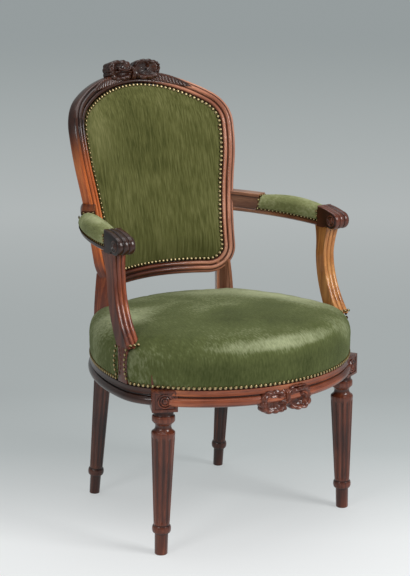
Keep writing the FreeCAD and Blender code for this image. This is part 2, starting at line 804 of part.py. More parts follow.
def apron_ribbon():
    """Ribbon loops carved on the middle of the front rail, hanging a little below it."""
    ahead = -BOW_R - 50
    lobes = [pin(0, APRON_Z + 6, APRON_KNOT_R, ahead, 100)]
    for side in (-1, 1):
        lobes.append(pin(side * APRON_LOBE_X, APRON_Z - 5, APRON_LOBE_R, ahead, 100))
        lobes.append(pin(side * APRON_LEAF_X, APRON_Z + 3, APRON_LEAF_R, ahead, 100))
    low = APRON_Z - 60
    high = RAIL_BOTTOM_Z + REBATE_RISE
    return joined(lobes).common(seat_slab(APRON_PROUD, low, high).cut(seat_slab(-APRON_BEHIND, low, high)))


# Arms

ARM_ARC = ARM_SWEEP_R * rad(ARM_ROOT_DEG - ARM_AHEAD_DEG)
ARM_LENGTH = ARM_ARC + ARM_STRAIGHT


def arm_plan(s):
    """(x, y, heading) of the right arm's centre line, heading in degrees outward of straight ahead."""
    bent = min(s, ARM_ARC)
    heading = ARM_ROOT_DEG - math.degrees(bent / ARM_SWEEP_R)
    x = ARM_ROOT_X + ARM_SWEEP_R * (math.cos(rad(heading)) - math.cos(rad(ARM_ROOT_DEG)))
    y = ARM_ROOT_Y - ARM_SWEEP_R * (math.sin(rad(ARM_ROOT_DEG)) - math.sin(rad(heading)))
    ahead = s - bent
    return x + ahead * math.sin(rad(heading)), y - ahead * math.cos(rad(heading)), heading


def arm_under(s):
    return ARM_UNDER_BACK_Z + (ARM_UNDER_FRONT_Z - ARM_UNDER_BACK_Z) * min(1.0, s / ARM_LENGTH)


def arm_top(s):
    """Top of the wood: level behind the pad, falling over the scroll in front of it."""
    fall = max(0.0, (s - PAD_END) / (ARM_LENGTH - PAD_END))
    full = arm_under(s) + ARM_HEIGHT
    return full + (ARM_UNDER_FRONT_Z + 2 * SCROLL_R - full) * fall ** 2


def arm_place(s, across, z):
    x, y, heading = arm_plan(s)
    return V(x + across * math.cos(rad(heading)), y + across * math.sin(rad(heading)), z)


def wood_section(s, width, low_z, high_z):
    half = width / 2
    soft = 3.0
    corners = [(-half, high_z), (-half, low_z + soft), (soft - half, low_z), (half - soft, low_z),
               (half, low_z + soft), (half, high_z)]
    return [arm_place(s, across, z) for across, z in corners]


def reed_line(place, width):
    """Points over three reeds side by side; `place` turns (across, rise) into a point."""
    share = width / REEDS
    points = [place(-width / 2, 0)]
    for i in range(REEDS):
        a = -width / 2 + i * share
        points += bow(place(a, 0), place(a + share / 2, REED_RISE), place(a + share, 0), 3)[1:]
    return points


def reeded_section(s, width):
    low, high = arm_under(s), arm_top(s) - REED_RISE

    def place(across, rise):
        return arm_place(s, across, high + rise)

    return reed_line(place, width) + [arm_place(s, width / 2, low), arm_place(s, -width / 2, low)]


def arm_scroll():
    """Reeded drum that ends the arm, with an eye on each side."""
    x, y, heading = arm_plan(ARM_LENGTH)
    half = SCROLL_WIDTH / 2
    core = SCROLL_R - REED_RISE
    reeds = reed_line(lambda across, rise: V(core + rise, 0, across), SCROLL_WIDTH)
    drum = turning([(point.x, point.z) for point in reeds])
    eye = turning([(VOLUTE_EYE_R, -half - VOLUTE_EYE_RISE), (VOLUTE_EYE_R, half + VOLUTE_EYE_RISE)], 12)
    drum = drum.fuse(eye)
    drum.rotate(V(0, 0, 0), V(0, 1, 0), 90)
    drum.rotate(V(0, 0, 0), V(0, 0, 1), heading)
    drum.translate(V(x, y, ARM_UNDER_FRONT_Z + SCROLL_R))
    return drum


def arm():
    """Right arm: block at the back, thin bed under the pad, reeded block and scroll in front."""
    bed = skin([wood_section(s, ARM_WIDTH, arm_under(s), arm_under(s) + ARM_BED)
                for s in stations(ARM_ROOT_BEHIND, PAD_END + 2, 9)])
    behind = skin([wood_section(s, ARM_BLOCK_WIDTH, arm_under(s), arm_top(s))
                   for s in stations(ARM_ROOT_BEHIND, PAD_START, 4)])
    front = skin([reeded_section(s, SCROLL_WIDTH) for s in stations(PAD_END, ARM_LENGTH, 5)])
    return joined([bed, behind.cut(arm_panels()), front, arm_scroll()])


def arm_panels():
    """Sunk panel on both sides of the arm between the back and the pad."""
    margin = 6.0
    half = ARM_BLOCK_WIDTH / 2
    cutters = []
    for side in (-1, 1):
        a, b = side * (half - PANEL_SINK), side * (half + 2)
        rings = []
        for s in stations(PAD_START * 0.3, PAD_START - margin, 3):
            low, high = arm_under(s) + margin, arm_top(s) - margin
            rings.append([arm_place(s, a, low), arm_place(s, b, low), arm_place(s, b, high), arm_place(s, a, high)])
        cutters.append(skin(rings))
    return cutters


def pad_section(s, inset):
    """Crowned section of the arm pad; the crown falls a little towards both ends."""
    share = (s - PAD_START) / (PAD_END - PAD_START)
    swell = math.sin(math.pi * min(1.0, max(0.0, share)))
    base = ARM_WIDTH / 2 - 0.5 - inset
    half = PAD_WIDTH / 2 - 2.0 + 2.0 * swell - inset
    high = ARM_HEIGHT - ARM_BED - 3.0 + PAD_CROWN * swell - inset
    floor = arm_under(s) + ARM_BED + CLEAR / 3

    def p(across, rise):
        return arm_place(s, across, floor + rise)

    shoulder = half - 5.0
    side = bow(p(base, 0), p(half, high * 0.4), p(shoulder, high * 0.8), 3)
    other = bow(p(-shoulder, high * 0.8), p(-half, high * 0.4), p(-base, 0), 3)
    return side + bow(p(shoulder, high * 0.8), p(0, high), p(-shoulder, high * 0.8), 4)[1:-1] + other


def pad_rings(inset):
    start = PAD_START + CLEAR + inset
    end = PAD_END - CLEAR - inset
    return [pad_section(s, inset) for s in stations(start, end, 7)]


def arm_pad_cover():
    hollow = skin([[point - V(0, 0, 1) for point in ring] for ring in pad_rings(COVER_THICKNESS)])
    return skin(pad_rings(0.0)).cut(hollow)


def arm_pad_stuffing():
    return skin(pad_rings(COVER_THICKNESS + SOFT_FIT))


# Arm supports

def support_lines(z):
    """Front y, rear y, centre x and width of the right arm support at one height."""
    below = max(0.0, min(1.0, (SUPPORT_WAIST_Z - z) / (SUPPORT_WAIST_Z - SUPPORT_SEAT_Z)))
    above = max(0.0, (z - SUPPORT_WAIST_Z) / (ARM_UNDER_FRONT_Z - SUPPORT_WAIST_Z))
    front = SUPPORT_WAIST_Y - SUPPORT_FRONT_SWEEP * below ** 2 - SUPPORT_HEAD_FLARE * above ** 2
    rear = SUPPORT_WAIST_Y + SUPPORT_DEPTH - SUPPORT_REAR_SWEEP * below ** 2 + SUPPORT_HEAD_FLARE * above ** 2
    x = SEAT_HALF_WIDTH - SUPPORT_INSET + SUPPORT_LEAN * above
    return front, rear, x, SUPPORT_WIDTH + 2.5 * max(above, below) ** 2


def support_section(z, grow=0.0):
    front, rear, x, width = support_lines(z)
    half = width / 2 + grow
    front -= grow
    rear += grow
    groove = SUPPORT_GROOVE if grow == 0 else 0.01
    corners = [V(x - half, rear, z), V(x - half, front, z)]
    for middle in (-width / 5, width / 5):
        corners += [V(x + middle - groove, front, z), V(x + middle, front + groove, z),
                    V(x + middle + groove, front, z)]
    corners += [V(x + half, front, z), V(x + half, rear, z)]
    return corners


def support_body(low_z, high_z, grow=0.0):
    return skin([support_section(z, grow) for z in stations(low_z, high_z, 8)])


def support_foot(grow=0.0):
    """Upright lower end, lapped over the seat rail and showing as a strip through the velvet."""
    width = SUPPORT_WIDTH + 2 * grow
    depth = SUPPORT_FOOT_DEPTH + 2 * grow
    low = RAIL_BOTTOM_Z + REBATE_RISE
    high = SUPPORT_SEAT_Z + 4
    return Part.makeBox(width, depth, high - low,
                        V(SEAT_HALF_WIDTH + 1 - SUPPORT_WIDTH - grow, SUPPORT_FOOT_Y - depth / 2, low))


def arm_support():
    body = support_body(SUPPORT_SEAT_Z, ARM_UNDER_FRONT_Z + 8)
    body = body.fuse(support_foot())
    return body


def support_clearance():
    """Room for the arm support in the seat upholstery, open to the outside at its strip."""
    strip = Part.makeBox(40, SUPPORT_FOOT_DEPTH + 2 * CLEAR, SUPPORT_SEAT_Z - RAIL_BOTTOM_Z,
                         V(SEAT_HALF_WIDTH - 5, SUPPORT_FOOT_Y - SUPPORT_FOOT_DEPTH / 2 - CLEAR, RAIL_BOTTOM_Z + 20))
    return joined([support_body(SUPPORT_SEAT_Z, SEAT_CROWN_Z + 10, CLEAR), support_foot(CLEAR), strip])


# Upholstery of the seat

def seat_levels(inset):
    """(height, offset, shrink) of the cushion's outline from its nailed edge to its crown."""
    low = RAIL_BOTTOM_Z + REBATE_RISE + 1.0
    return [
        (low, -inset * 1.2, 1.0),
        (low + 20, SEAT_BULGE * 0.6 - inset, 1.0),
        (SEAT_EDGE_Z, SEAT_BULGE - inset, 1.0),
        (SEAT_SHOULDER_Z - inset * 0.3, SEAT_BULGE * 0.2 - inset, 1.0),
        (SEAT_SHOULDER_Z + 12 - inset, -SEAT_SHOULDER_R + SEAT_BULGE * 0.4, 1.0),
        (SEAT_CROWN_Z - 8 - inset, -SEAT_SHOULDER_R, 0.68),
        (SEAT_CROWN_Z - inset, -SEAT_SHOULDER_R, 0.28),
    ]


def seat_rings(inset, levels=slice(None)):
    return [seat_ring(offset, z, shrink) for z, offset, shrink in seat_levels(inset)[levels]]


def seat_fittings():
    """What passes through the seat upholstery: both posts and both arm supports, with clearance."""
    right = [post(RAIL_BOTTOM_Z, SEAT_CROWN_Z + 20, CLEAR), support_clearance()]
    return right + [mirrored(piece) for piece in right]


def seat_cover():
    """Velvet over the whole seat as one sheet, its lower edge nailed in the rebate of the rails."""
    sheet = skin(seat_rings(COVER_THICKNESS, slice(None, None, -2)) + seat_rings(0.0))
    return sheet.cut(seat_fittings())


def seat_stuffing():
    low = RAIL_TOP_Z + 2 * STRAP_THICKNESS + HESSIAN_THICKNESS
    return skin(seat_rings(COVER_THICKNESS + SOFT_FIT, slice(None, None, 2))).common(zone_above(low)).cut(seat_fittings())


def seat_hessian():
    low = RAIL_TOP_Z + 2 * STRAP_THICKNESS
    sheet = seat_slab(-REBATE_DEPTH - 4, low, low + HESSIAN_THICKNESS)
    return sheet.cut(seat_fittings())


def seat_straps(along_depth):
    """Webbing straps of one direction, stretched over the rails."""
    low = RAIL_TOP_Z + (0 if along_depth else STRAP_THICKNESS)
    sheet = seat_slab(-REBATE_DEPTH - 6, low, low + STRAP_THICKNESS)
    span = SEAT_STRAP_SPAN if along_depth else SEAT_STRAP_SPAN * 0.86
    middle_y = (BACK_RAIL_MID_Y - BOW_R) / 2 - 10
    side = 3 * BOW_R
    straps = []
    for place in stations(-span / 2, span / 2, SEAT_STRAPS):
        edge = place - STRAP_WIDTH / 2
        if along_depth:
            strip = Part.makeBox(STRAP_WIDTH, side, side, V(edge, -side / 2, 0))
        else:
            strip = Part.makeBox(side, STRAP_WIDTH, side, V(-side / 2, middle_y + edge, 0))
        straps.append(strip.common(sheet).cut(seat_fittings()))
    return straps


def bottom_cloth():
    sheet = seat_slab(-8.0, RAIL_BOTTOM_Z - HESSIAN_THICKNESS, RAIL_BOTTOM_Z)
    feet = [front_block(), post(RAIL_BOTTOM_Z - 10, RAIL_BOTTOM_Z + 10, CLEAR), back_leg_room()]
    return sheet.cut(feet + [mirrored(piece) for piece in feet])


def back_leg_room():
    return Part.makeCylinder(BACK_SHAFT_TOP_R + 1.5, 20, V(BACK_LEG_X, BACK_LEG_Y, RAIL_BOTTOM_Z - 10))


# Upholstery of the back

def back_layer(near, far, across):
    return back_slab(near, far).common(sight_prism(across))


def cushion_rings(inset, across):
    """Rings of the back cushion's face from its edge on the rebate to its middle, and the middle itself."""
    middle_z = (SIGHT_TOP_Z + LOWER_CORNER_Z) / 2
    rings = []
    for shrink, crown in ((1.0, 0.0), (0.93, 0.5), (0.75, 0.84), (0.4, 0.98)):
        depth = COVER_EDGE_RISE + inset - crown * BACK_CROWN
        ring = []
        for x, z in sight_ring(across):
            ring.append(back_point(x * shrink, middle_z + (z - middle_z) * shrink, depth))
        rings.append(ring)
    return rings, back_point(0, middle_z, COVER_EDGE_RISE + inset - BACK_CROWN)


def edge_ring(depth, across):
    return [back_point(x, z, depth) for x, z in sight_ring(across)]


def inside_back_cover():
    """Velvet over the stuffing as one sheet, its edge turned in and standing on the rebate."""
    outer, outer_middle = cushion_rings(0.0, -CLEAR)
    inner, inner_middle = cushion_rings(COVER_THICKNESS, -CLEAR - COVER_THICKNESS)
    foot = [edge_ring(COVER_FOOT, -CLEAR - COVER_THICKNESS), edge_ring(COVER_FOOT, -CLEAR)]
    return skin(inner[::-1] + foot + outer, inner_middle, outer_middle)


def back_stuffing():
    across = -CLEAR - COVER_THICKNESS - SOFT_FIT / 2
    rings, middle = cushion_rings(COVER_THICKNESS + SOFT_FIT, across)
    middle_z = (SIGHT_TOP_Z + LOWER_CORNER_Z) / 2
    body = skin([edge_ring(REBATE_FLOOR + 4, across)] + rings, back_point(0, middle_z, 3 * FRAME_THICKNESS), middle)
    hessian_front = BACK_STRAPS_REAR - 2 * STRAP_THICKNESS - HESSIAN_THICKNESS
    return body.cut(back_slab(hessian_front, 4 * FRAME_THICKNESS))


def back_hessian():
    rear = BACK_STRAPS_REAR - 2 * STRAP_THICKNESS
    return back_layer(rear - HESSIAN_THICKNESS, rear, STRAP_END)


def back_straps(upright):
    rear = BACK_STRAPS_REAR - (0 if upright else STRAP_THICKNESS)
    sheet = back_layer(rear - STRAP_THICKNESS, rear, STRAP_END)
    middle_z = (SIGHT_TOP_Z + LOWER_CORNER_Z) / 2
    straps = []
    for i in (-1, 0, 1):
        strip = Part.makeBox(STRAP_WIDTH, 3 * BACK_CURVE_R, 2 * SIGHT_TOP_Z)
        corner = V(i * BACK_STRAP_STEP - STRAP_WIDTH / 2, -BACK_CURVE_R, 0)
        if not upright:
            strip = Part.makeBox(2 * BACK_CURVE_R, 3 * BACK_CURVE_R, STRAP_WIDTH)
            corner = V(-BACK_CURVE_R, -BACK_CURVE_R, middle_z + i * BACK_STRAP_RISE - STRAP_WIDTH / 2)
        strip.translate(corner)
        straps.append(strip.common(sheet))
    return straps


def outside_back_cover():
    near = FRAME_THICKNESS + CURVE_FIT
    return back_layer(near, near + COVER_THICKNESS, OUTSIDE_LAP)


# Seat frame pieces

def seat_side_rail():
    """Right seat rail, from the front leg round the corner and back to the post, with a tenon at each end."""
    rail = moulded_rail(BOW_STOPS[-2:] + CORNER_STOPS + SIDE_STOPS)
    rail = largest(rail.cut([front_block(), post(RAIL_BOTTOM_Z - 1, RAIL_TOP_Z + 1)]))
    rail = rail.fuse([leg_tenon(1, SIDE_TENON_IN), post_tenon(1, SIDE_TENON_REAR)])
    return rail.cut(right_pegs(PEG_FIT) + right_screws(PEG_FIT))


def seat_front_rail():
    """Bowed front rail, let into both front legs, with a ribbon carved on its middle."""
    right = BOW_STOPS[:-1]
    rail = moulded_rail(mirrored_stops(right[1:]) + right)
    tenon = leg_tenon(-1, -FRONT_TENON_OUT)
    rail = largest(rail.cut([front_block(), mirrored(front_block())])).fuse([apron_ribbon(), tenon, mirrored(tenon)])
    return rail.cut(both(right_pegs(PEG_FIT) + right_screws(PEG_FIT)))


def seat_back_rail():
    left = mirrored_stops(BACK_STOPS[:-1])
    rail = moulded_rail(BACK_STOPS + left)
    posts = post(RAIL_BOTTOM_Z - 1, RAIL_TOP_Z + 1)
    tenon = post_tenon(-1, -BACK_TENON_AHEAD)
    rail = largest(rail.cut([posts, mirrored(posts)])).fuse([tenon, mirrored(tenon)])
    return rail.cut(both(right_pegs(PEG_FIT) + right_screws(PEG_FIT)))


def both(shapes):
    return shapes + [mirrored(shape) for shape in shapes]


def in_front_leg(shape):
    """Turns a shape drawn about the upright axis, +Y into the seat, to its place at the right front leg."""
    shape.rotate(V(0, 0, 0), V(0, 0, 1), FRONT_BLOCK_TURN_DEG)
    shape.translate(V(FRONT_LEG_X, FRONT_LEG_Y, 0))
    return shape


def in_post(shape):
    """The same for the right back post, where the seat's inside lies ahead."""
    shape.rotate(V(0, 0, 0), V(0, 0, 1), 180 - POST_TURN_DEG)
    shape.translate(V(BACK_LEG_X, BACK_LEG_Y, 0))
    return shape


def tenon_box(shoulder, side, across, grow):
    """Tenon whose shoulder is at a distance from the upright axis, on one side of it."""
    start, end = shoulder - TENON_LENGTH - grow, shoulder + TENON_ROOT
    low = RAIL_BOTTOM_Z + TENON_SHOULDER - grow
    thickness = TENON_THICKNESS + 2 * grow
    return Part.makeBox(end - start, thickness, RAIL_HEIGHT - 2 * TENON_SHOULDER + 2 * grow,
                        V(start if side > 0 else -end, across - thickness / 2, low))


def leg_tenon(side, across, grow=0.0):
    return in_front_leg(tenon_box(FRONT_BLOCK_WIDTH / 2, side, across, grow))


def post_tenon(side, rear, grow=0.0):
    """Tenon in the right post; `side` is 1 for the side rail and -1 for the back rail."""
    return in_post(tenon_box(POST_WIDTH / 2, -side, -rear, grow))


def leg_mortises():
    return [leg_tenon(1, SIDE_TENON_IN, TENON_FIT), leg_tenon(-1, -FRONT_TENON_OUT, TENON_FIT)]


def post_mortises():
    return [post_tenon(1, SIDE_TENON_REAR, TENON_FIT), post_tenon(-1, -BACK_TENON_AHEAD, TENON_FIT)]


def dowel(radii, lengths, sides, x, y, z):
    """Faceted pin along -Y from its outer end at (x, y, z), through rings of the given radii."""
    rings = []
    for radius, length in zip(radii, lengths):
        around = [polar((x, z), radius, 360.0 * (i + 0.5) / sides) for i in range(sides)]
        rings.append([V(a, y - length, b) for a, b in around])
    return skin(rings)


def right_pegs(grow=0.0):
    """Pegs through the tenons of the right legs, driven from inside the seat frame."""
    pegs = []
    for place, half, inner in ((in_front_leg, FRONT_BLOCK_WIDTH / 2, FRONT_BLOCK_BEHIND),
                               (in_post, POST_WIDTH / 2, POST_DEPTH / 2)):
        for side in (-1, 1):
            x = side * (half - PEG_FROM_SHOULDER)
            peg = dowel([PEG_R + grow] * 2, [0, PEG_LENGTH * (1 if half * 2 > POST_WIDTH else 0.85)], PEG_SIDES,
                        x, inner, RAIL_BOTTOM_Z + RAIL_HEIGHT / 2)
            pegs.append(place(peg))
    return pegs


def block_low():
    return RAIL_BOTTOM_Z + BLOCK_GAP


def block_inner_face(place):
    """Distance from the leg's axis to the inner face of its corner block."""
    leg = FRONT_BLOCK_BEHIND if place is in_front_leg else POST_DEPTH / 2
    return leg + BLOCK_GAP + BLOCK_THICKNESS / 2


def right_screws(grow=0.0):
    """Countersunk screws that hold the right corner blocks to the rails."""
    screws = []
    for place in (in_front_leg, in_post):
        for side in (-1, 1):
            radii = [radius + grow for radius in (SCREW_HEAD_R, SCREW_SHANK_R, SCREW_TIP_R)]
            lengths = (0, SCREW_HEAD_HEIGHT, SCREW_LENGTH)
            screw = dowel(radii, lengths, SCREW_SIDES, side * SCREW_REACH, block_inner_face(place),
                          block_low() + BLOCK_HEIGHT / 2)
            screws.append(place(screw))
    return screws


def corner_blocks():
    """Glue blocks inside the four corners of the seat frame, shaped to the rails and screwed to them."""
    low = block_low()
    inside = seat_slab(-RAIL_THICKNESS, low, low + BLOCK_HEIGHT)
    blocks = []
    for place, hole in ((in_front_leg, front_block()), (in_post, post(RAIL_BOTTOM_Z, RAIL_TOP_Z))):
        inner = block_inner_face(place)
        block = Part.makeBox(BOW_R / 2, BLOCK_THICKNESS, BLOCK_HEIGHT, V(-BOW_R / 4, inner - BLOCK_THICKNESS, low))
        blocks.append(largest(place(block).common(inside).cut([hole] + right_screws(PEG_FIT))))
    return both(blocks)


def trimmed_front_leg():
    """The front leg with the top of its block cut back under the velvet."""
    cut_z = RAIL_BOTTOM_Z + REBATE_RISE
    above = zone_above(cut_z).cut(seat_slab(-REBATE_DEPTH, cut_z - 1, RAIL_TOP_Z + 50))
    return front_leg().cut([above] + leg_mortises() + right_pegs(PEG_FIT))


# Export

def write(name, shapes):
    """Places the shapes over the footprint's centre and writes them as one node."""
    group = shapes if isinstance(shapes, list) else [shapes]
    solids = [solid for shape in group for solid in shape.Solids]
    NODES[name] = solids


NODES = {}


def write_pair(stem, shape):
    write(side_name(stem, True), shape)
    write(side_name(stem, False), mirrored(shape))


def build():
    leg = trimmed_front_leg()
    stile_leg = back_leg().cut(post_mortises() + right_pegs(PEG_FIT))
    write("front_rail", seat_front_rail())
    write_pair("side_rail", seat_side_rail())
    write("back_rail", seat_back_rail())
    write_pair("front_leg", leg)
    write_pair("back_leg_and_stile", stile_leg)
    write("crest_rail", crest_rail())
    write("lower_back_rail", lower_back_rail())
    support = arm_support()
    whole_arm = arm()
    write_pair("arm", whole_arm.cut(stile_leg))
    write_pair("arm_support", support.cut([whole_arm, seat_side_rail()]))
    write_pair("arm_pad_cover", arm_pad_cover())
    write_pair("arm_pad_stuffing", arm_pad_stuffing())
    write("corner_blocks", corner_blocks())
    write("corner_block_screws", both(right_screws()))
    write("mortise_pegs", both(right_pegs()))
    write("seat_webbing_front_to_back", seat_straps(True))
    write("seat_webbing_side_to_side", seat_straps(False))
    write("seat_hessian", seat_hessian())
    write("seat_stuffing", seat_stuffing())
    write("seat_cover", seat_cover())
    write("seat_bottom_cloth", bottom_cloth())
    write("back_webbing_upright", back_straps(True))
    write("back_webbing_across", back_straps(False))
    write("back_hessian", back_hessian())
    write("back_stuffing", back_stuffing())
    write("inside_back_cover", inside_back_cover())
    write("outside_back_cover", outside_back_cover())


def export():
    box = Part.Compound([solid for solids in NODES.values() for solid in solids]).BoundBox
    shift = V(0, -(box.YMin + box.YMax) / 2, 0)
    os.makedirs("parts", exist_ok=True)
    for name, solids in NODES.items():
        shape = Part.Compound(solids) if len(solids) > 1 else solids[0]
        shape.translate(shift)
        shape.exportStep(os.path.join("parts", name + ".step"))
    print("footprint centred by", round(shift.y, 3), "box", box)


build()
export()
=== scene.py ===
import bmesh
import bpy
import math
from mathutils import Matrix, Vector


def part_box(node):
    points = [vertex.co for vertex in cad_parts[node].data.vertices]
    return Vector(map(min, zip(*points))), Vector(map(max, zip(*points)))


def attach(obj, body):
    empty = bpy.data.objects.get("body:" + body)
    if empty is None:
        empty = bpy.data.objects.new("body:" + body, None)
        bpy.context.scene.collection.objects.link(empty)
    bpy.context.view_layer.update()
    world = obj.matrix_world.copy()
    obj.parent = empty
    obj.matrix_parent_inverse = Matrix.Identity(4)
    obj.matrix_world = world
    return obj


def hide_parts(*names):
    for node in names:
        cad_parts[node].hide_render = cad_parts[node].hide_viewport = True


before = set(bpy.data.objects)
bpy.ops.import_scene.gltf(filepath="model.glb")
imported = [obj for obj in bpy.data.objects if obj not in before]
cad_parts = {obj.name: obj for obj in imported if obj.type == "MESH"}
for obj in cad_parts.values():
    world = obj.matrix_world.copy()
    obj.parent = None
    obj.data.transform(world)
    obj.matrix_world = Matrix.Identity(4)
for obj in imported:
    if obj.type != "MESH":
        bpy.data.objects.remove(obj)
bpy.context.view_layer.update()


# The studio: a wide pale floor under grey air, two softboxes in front on the left and right, and a
# wide soft light above. None of it is part of the chair.

def srgb(code):
    """A hex colour as linear light."""
    levels = [int(code[i:i + 2], 16) / 255 for i in (1, 3, 5)]
    return [v / 12.92 if v <= 0.04045 else ((v + 0.055) / 1.055) ** 2.4 for v in levels] + [1.0]


def add(material, kind, links=(), stops=(), **values):
    """Adds a node with its settings; `links` gives inputs a value or a socket, `stops` fills a colour ramp."""
    tree = material.node_tree
    node = tree.nodes.new("ShaderNode" + kind)
    for name, value in values.items():
        setattr(node, name, value)
    for where, value in dict(links).items():
        if isinstance(value, bpy.types.NodeSocket):
            tree.links.new(value, node.inputs[where])
        else:
            node.inputs[where].default_value = value
    while stops and len(node.color_ramp.elements) < len(stops):
        node.color_ramp.elements.new(0.5)
    for i, (position, colour) in enumerate(stops):
        node.color_ramp.elements[i].position = position
        node.color_ramp.elements[i].color = srgb(colour) if isinstance(colour, str) else colour
    return node


def blank(name):
    """A new material with nothing but its output."""
    material = bpy.data.materials.new(name)
    material.use_nodes = True
    for node in list(material.node_tree.nodes):
        if node.type != "OUTPUT_MATERIAL":
            material.node_tree.nodes.remove(node)
    return material


def surface(material, shader):
    """Makes a shader what the material shows."""
    output = next(node for node in material.node_tree.nodes if node.type == "OUTPUT_MATERIAL")
    material.node_tree.links.new(shader.outputs[0], output.inputs[0])


def plainly_seen(material):
    """1 for what the camera, a reflection or a clear piece shows of the studio, 0 for its light."""
    path = add(material, "LightPath").outputs
    shown = path["Is Camera Ray"]
    for other in ("Is Glossy Ray", "Is Transmission Ray"):
        shown = add(material, "Math", {0: shown, 1: path[other]}, operation="MAXIMUM").outputs[0]
    return shown


# Matt painted boards: white in front of the chair and grey behind it, and beyond FAR metres in any
# direction the grey of the air. `back` is the way behind the chair, drawn together with distance.
NEAR, FAR = 4.0, 26.0
AIR_GREY = "#979e9f"
boards = blank("studio_boards")
floor_at = add(boards, "TexCoord").outputs["Object"]
turned_at = add(boards, "Mapping", {0: floor_at, "Rotation": (0, 0, math.radians(34.3))}).outputs[0]
back = add(boards, "SeparateXYZ", {0: turned_at}).outputs[1]
span = add(boards, "Math", {0: back}, operation="ABSOLUTE").outputs[0]
span = add(boards, "Math", {0: span, 1: NEAR}, operation="ADD").outputs[0]
back = add(boards, "Math", {0: back, 1: span}, operation="DIVIDE").outputs[0]
back = add(boards, "MapRange", {0: back, 1: -0.25, 2: 0.95}).outputs[0]
board_colour = add(boards, "ValToRGB", {0: back}, [
    (0.0, "#ffffff"), (0.17, "#f2f4f4"), (0.275, "#c4caca"), (0.35, "#b4baba"), (0.45, "#b2b8b8"),
    (0.60, "#b4b9b9"), (0.75, "#a8aeae"), (0.95, "#989f9f")]).outputs[0]
reach = add(boards, "VectorMath", {0: floor_at}, operation="LENGTH").outputs["Value"]
haze = add(boards, "MapRange", {0: reach, 1: NEAR, 2: FAR}, interpolation_type="SMOOTHSTEP").outputs[0]
board_colour = add(boards, "MixRGB", {0: haze, 1: board_colour, 2: srgb(AIR_GREY)}).outputs[0]
board_paint = add(boards, "BsdfPrincipled", {"Base Color": board_colour, "Roughness": 0.9,
                                             "Specular IOR Level": 0.1})
# the boards are seen partly by their own colour, as if evenly lit, and wholly so far away
evenly_lit = add(boards, "Emission", {"Color": board_colour, "Strength": 0.98})
even_share = add(boards, "MapRange", {0: back, 1: 0.36, 2: 0.62, 3: 0.55, 4: 1.0}).outputs[0]
even_share = add(boards, "Math", {0: plainly_seen(boards), 1: even_share}, operation="MULTIPLY").outputs[0]
surface(boards, add(boards, "MixShader", {0: even_share, 1: board_paint.outputs[0], 2: evenly_lit.outputs[0]}))

floor_shape = bmesh.new()
bmesh.ops.create_circle(floor_shape, cap_ends=True, segments=96, radius=80)
floor_data = bpy.data.meshes.new("studio_floor")
floor_shape.to_mesh(floor_data)
floor_shape.free()
floor_data.materials.append(boards)
studio_floor = bpy.data.objects.new("studio_floor", floor_data)
bpy.context.scene.collection.objects.link(studio_floor)


def softbox(name, place, towards, size, power):
    """A studio light at `place` that points at `towards`, in metres and watts."""
    light = bpy.data.lights.new(name, "AREA")
    light.shape = "RECTANGLE"
    light.size, light.size_y = size
    light.energy = power
    lamp = bpy.data.objects.new(name, light)
    lamp.location = place
    lamp.rotation_euler = (Vector(towards) - Vector(place)).to_track_quat("-Z", "Y").to_euler()
    bpy.context.scene.collection.objects.link(lamp)


softbox("softbox_right", (1.1, -2.3, 1.9), (0, 0, 0.45), (1.0, 1.2), 54)
softbox("softbox_left", (-2.6, -0.9, 1.7), (0, 0, 0.45), (0.9, 1.1), 20)
softbox("ceiling_light", (0.0, 0.2, 3.0), (0, 0, 0.3), (2.4, 2.4), 34)

world = bpy.data.worlds.new("studio_air")
bpy.context.scene.world = world
world.use_nodes = True
air_light = world.node_tree.nodes["Background"]
air_light.inputs["Color"].default_value = srgb("#c9d0d4")
air_light.inputs["Strength"].default_value = 0.25
air_seen = add(world, "Background", {"Color": srgb(AIR_GREY), "Strength": 1.0})
air = add(world, "MixShader", {0: plainly_seen(world), 1: air_light.outputs[0], 2: air_seen.outputs[0]})
world.node_tree.links.new(air.outputs[0], world.node_tree.nodes["World Output"].inputs[0])

bpy.context.scene.view_settings.view_transform = "Standard"

# The camera stands in front on the left, a little above the arms, as the photographer's did.
SHIFT_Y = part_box("seat_cover")[0][1] + 0.309
azimuth, elevation, roll = math.radians(-34.263), math.radians(12.218), math.radians(-0.011)
behind = Vector((math.sin(azimuth) * math.cos(elevation), -math.cos(azimuth) * math.cos(elevation),
                 math.sin(elevation)))
rightward = Vector((math.cos(azimuth), math.sin(azimuth), 0))
upward = behind.cross(rightward)
rightward, upward = (rightward * math.cos(roll) + upward * math.sin(roll),
                     upward * math.cos(roll) - rightward * math.sin(roll))
camera_data = bpy.data.cameras.new("camera")
camera_data.sensor_width = 36.0
camera_data.lens = 1447.06 / 576 * 36.0
camera = bpy.data.objects.new("camera", camera_data)
spot = Vector((0, SHIFT_Y, 0.45)) + behind * 2.962 + rightward * 0.004 + upward * 0.011
camera.matrix_world = Matrix.Translation(spot) @ Matrix((rightward, upward, behind)).transposed().to_4x4()
bpy.context.scene.collection.objects.link(camera)
bpy.context.scene.camera = camera


# The back frame: crest rail, two stiles and a lower rail of walnut, all with one moulding that is
# scraped along the nailed edge: a rebate for the velvet, two beads with quirks and a rounded edge.

# Walnut, scraped, stained red-brown and French polished: dark pores, stain left dark in the grooves with
# painted shade there too, ridges rubbed light with a painted highlight on them. "grain" places the pattern
# along each member, and a second value tells groove from ridge for the stain, wear and painted light.
POLISH = {"Specular IOR Level": 0.25, "Coat Weight": 0.42, "Coat Roughness": 0.07}


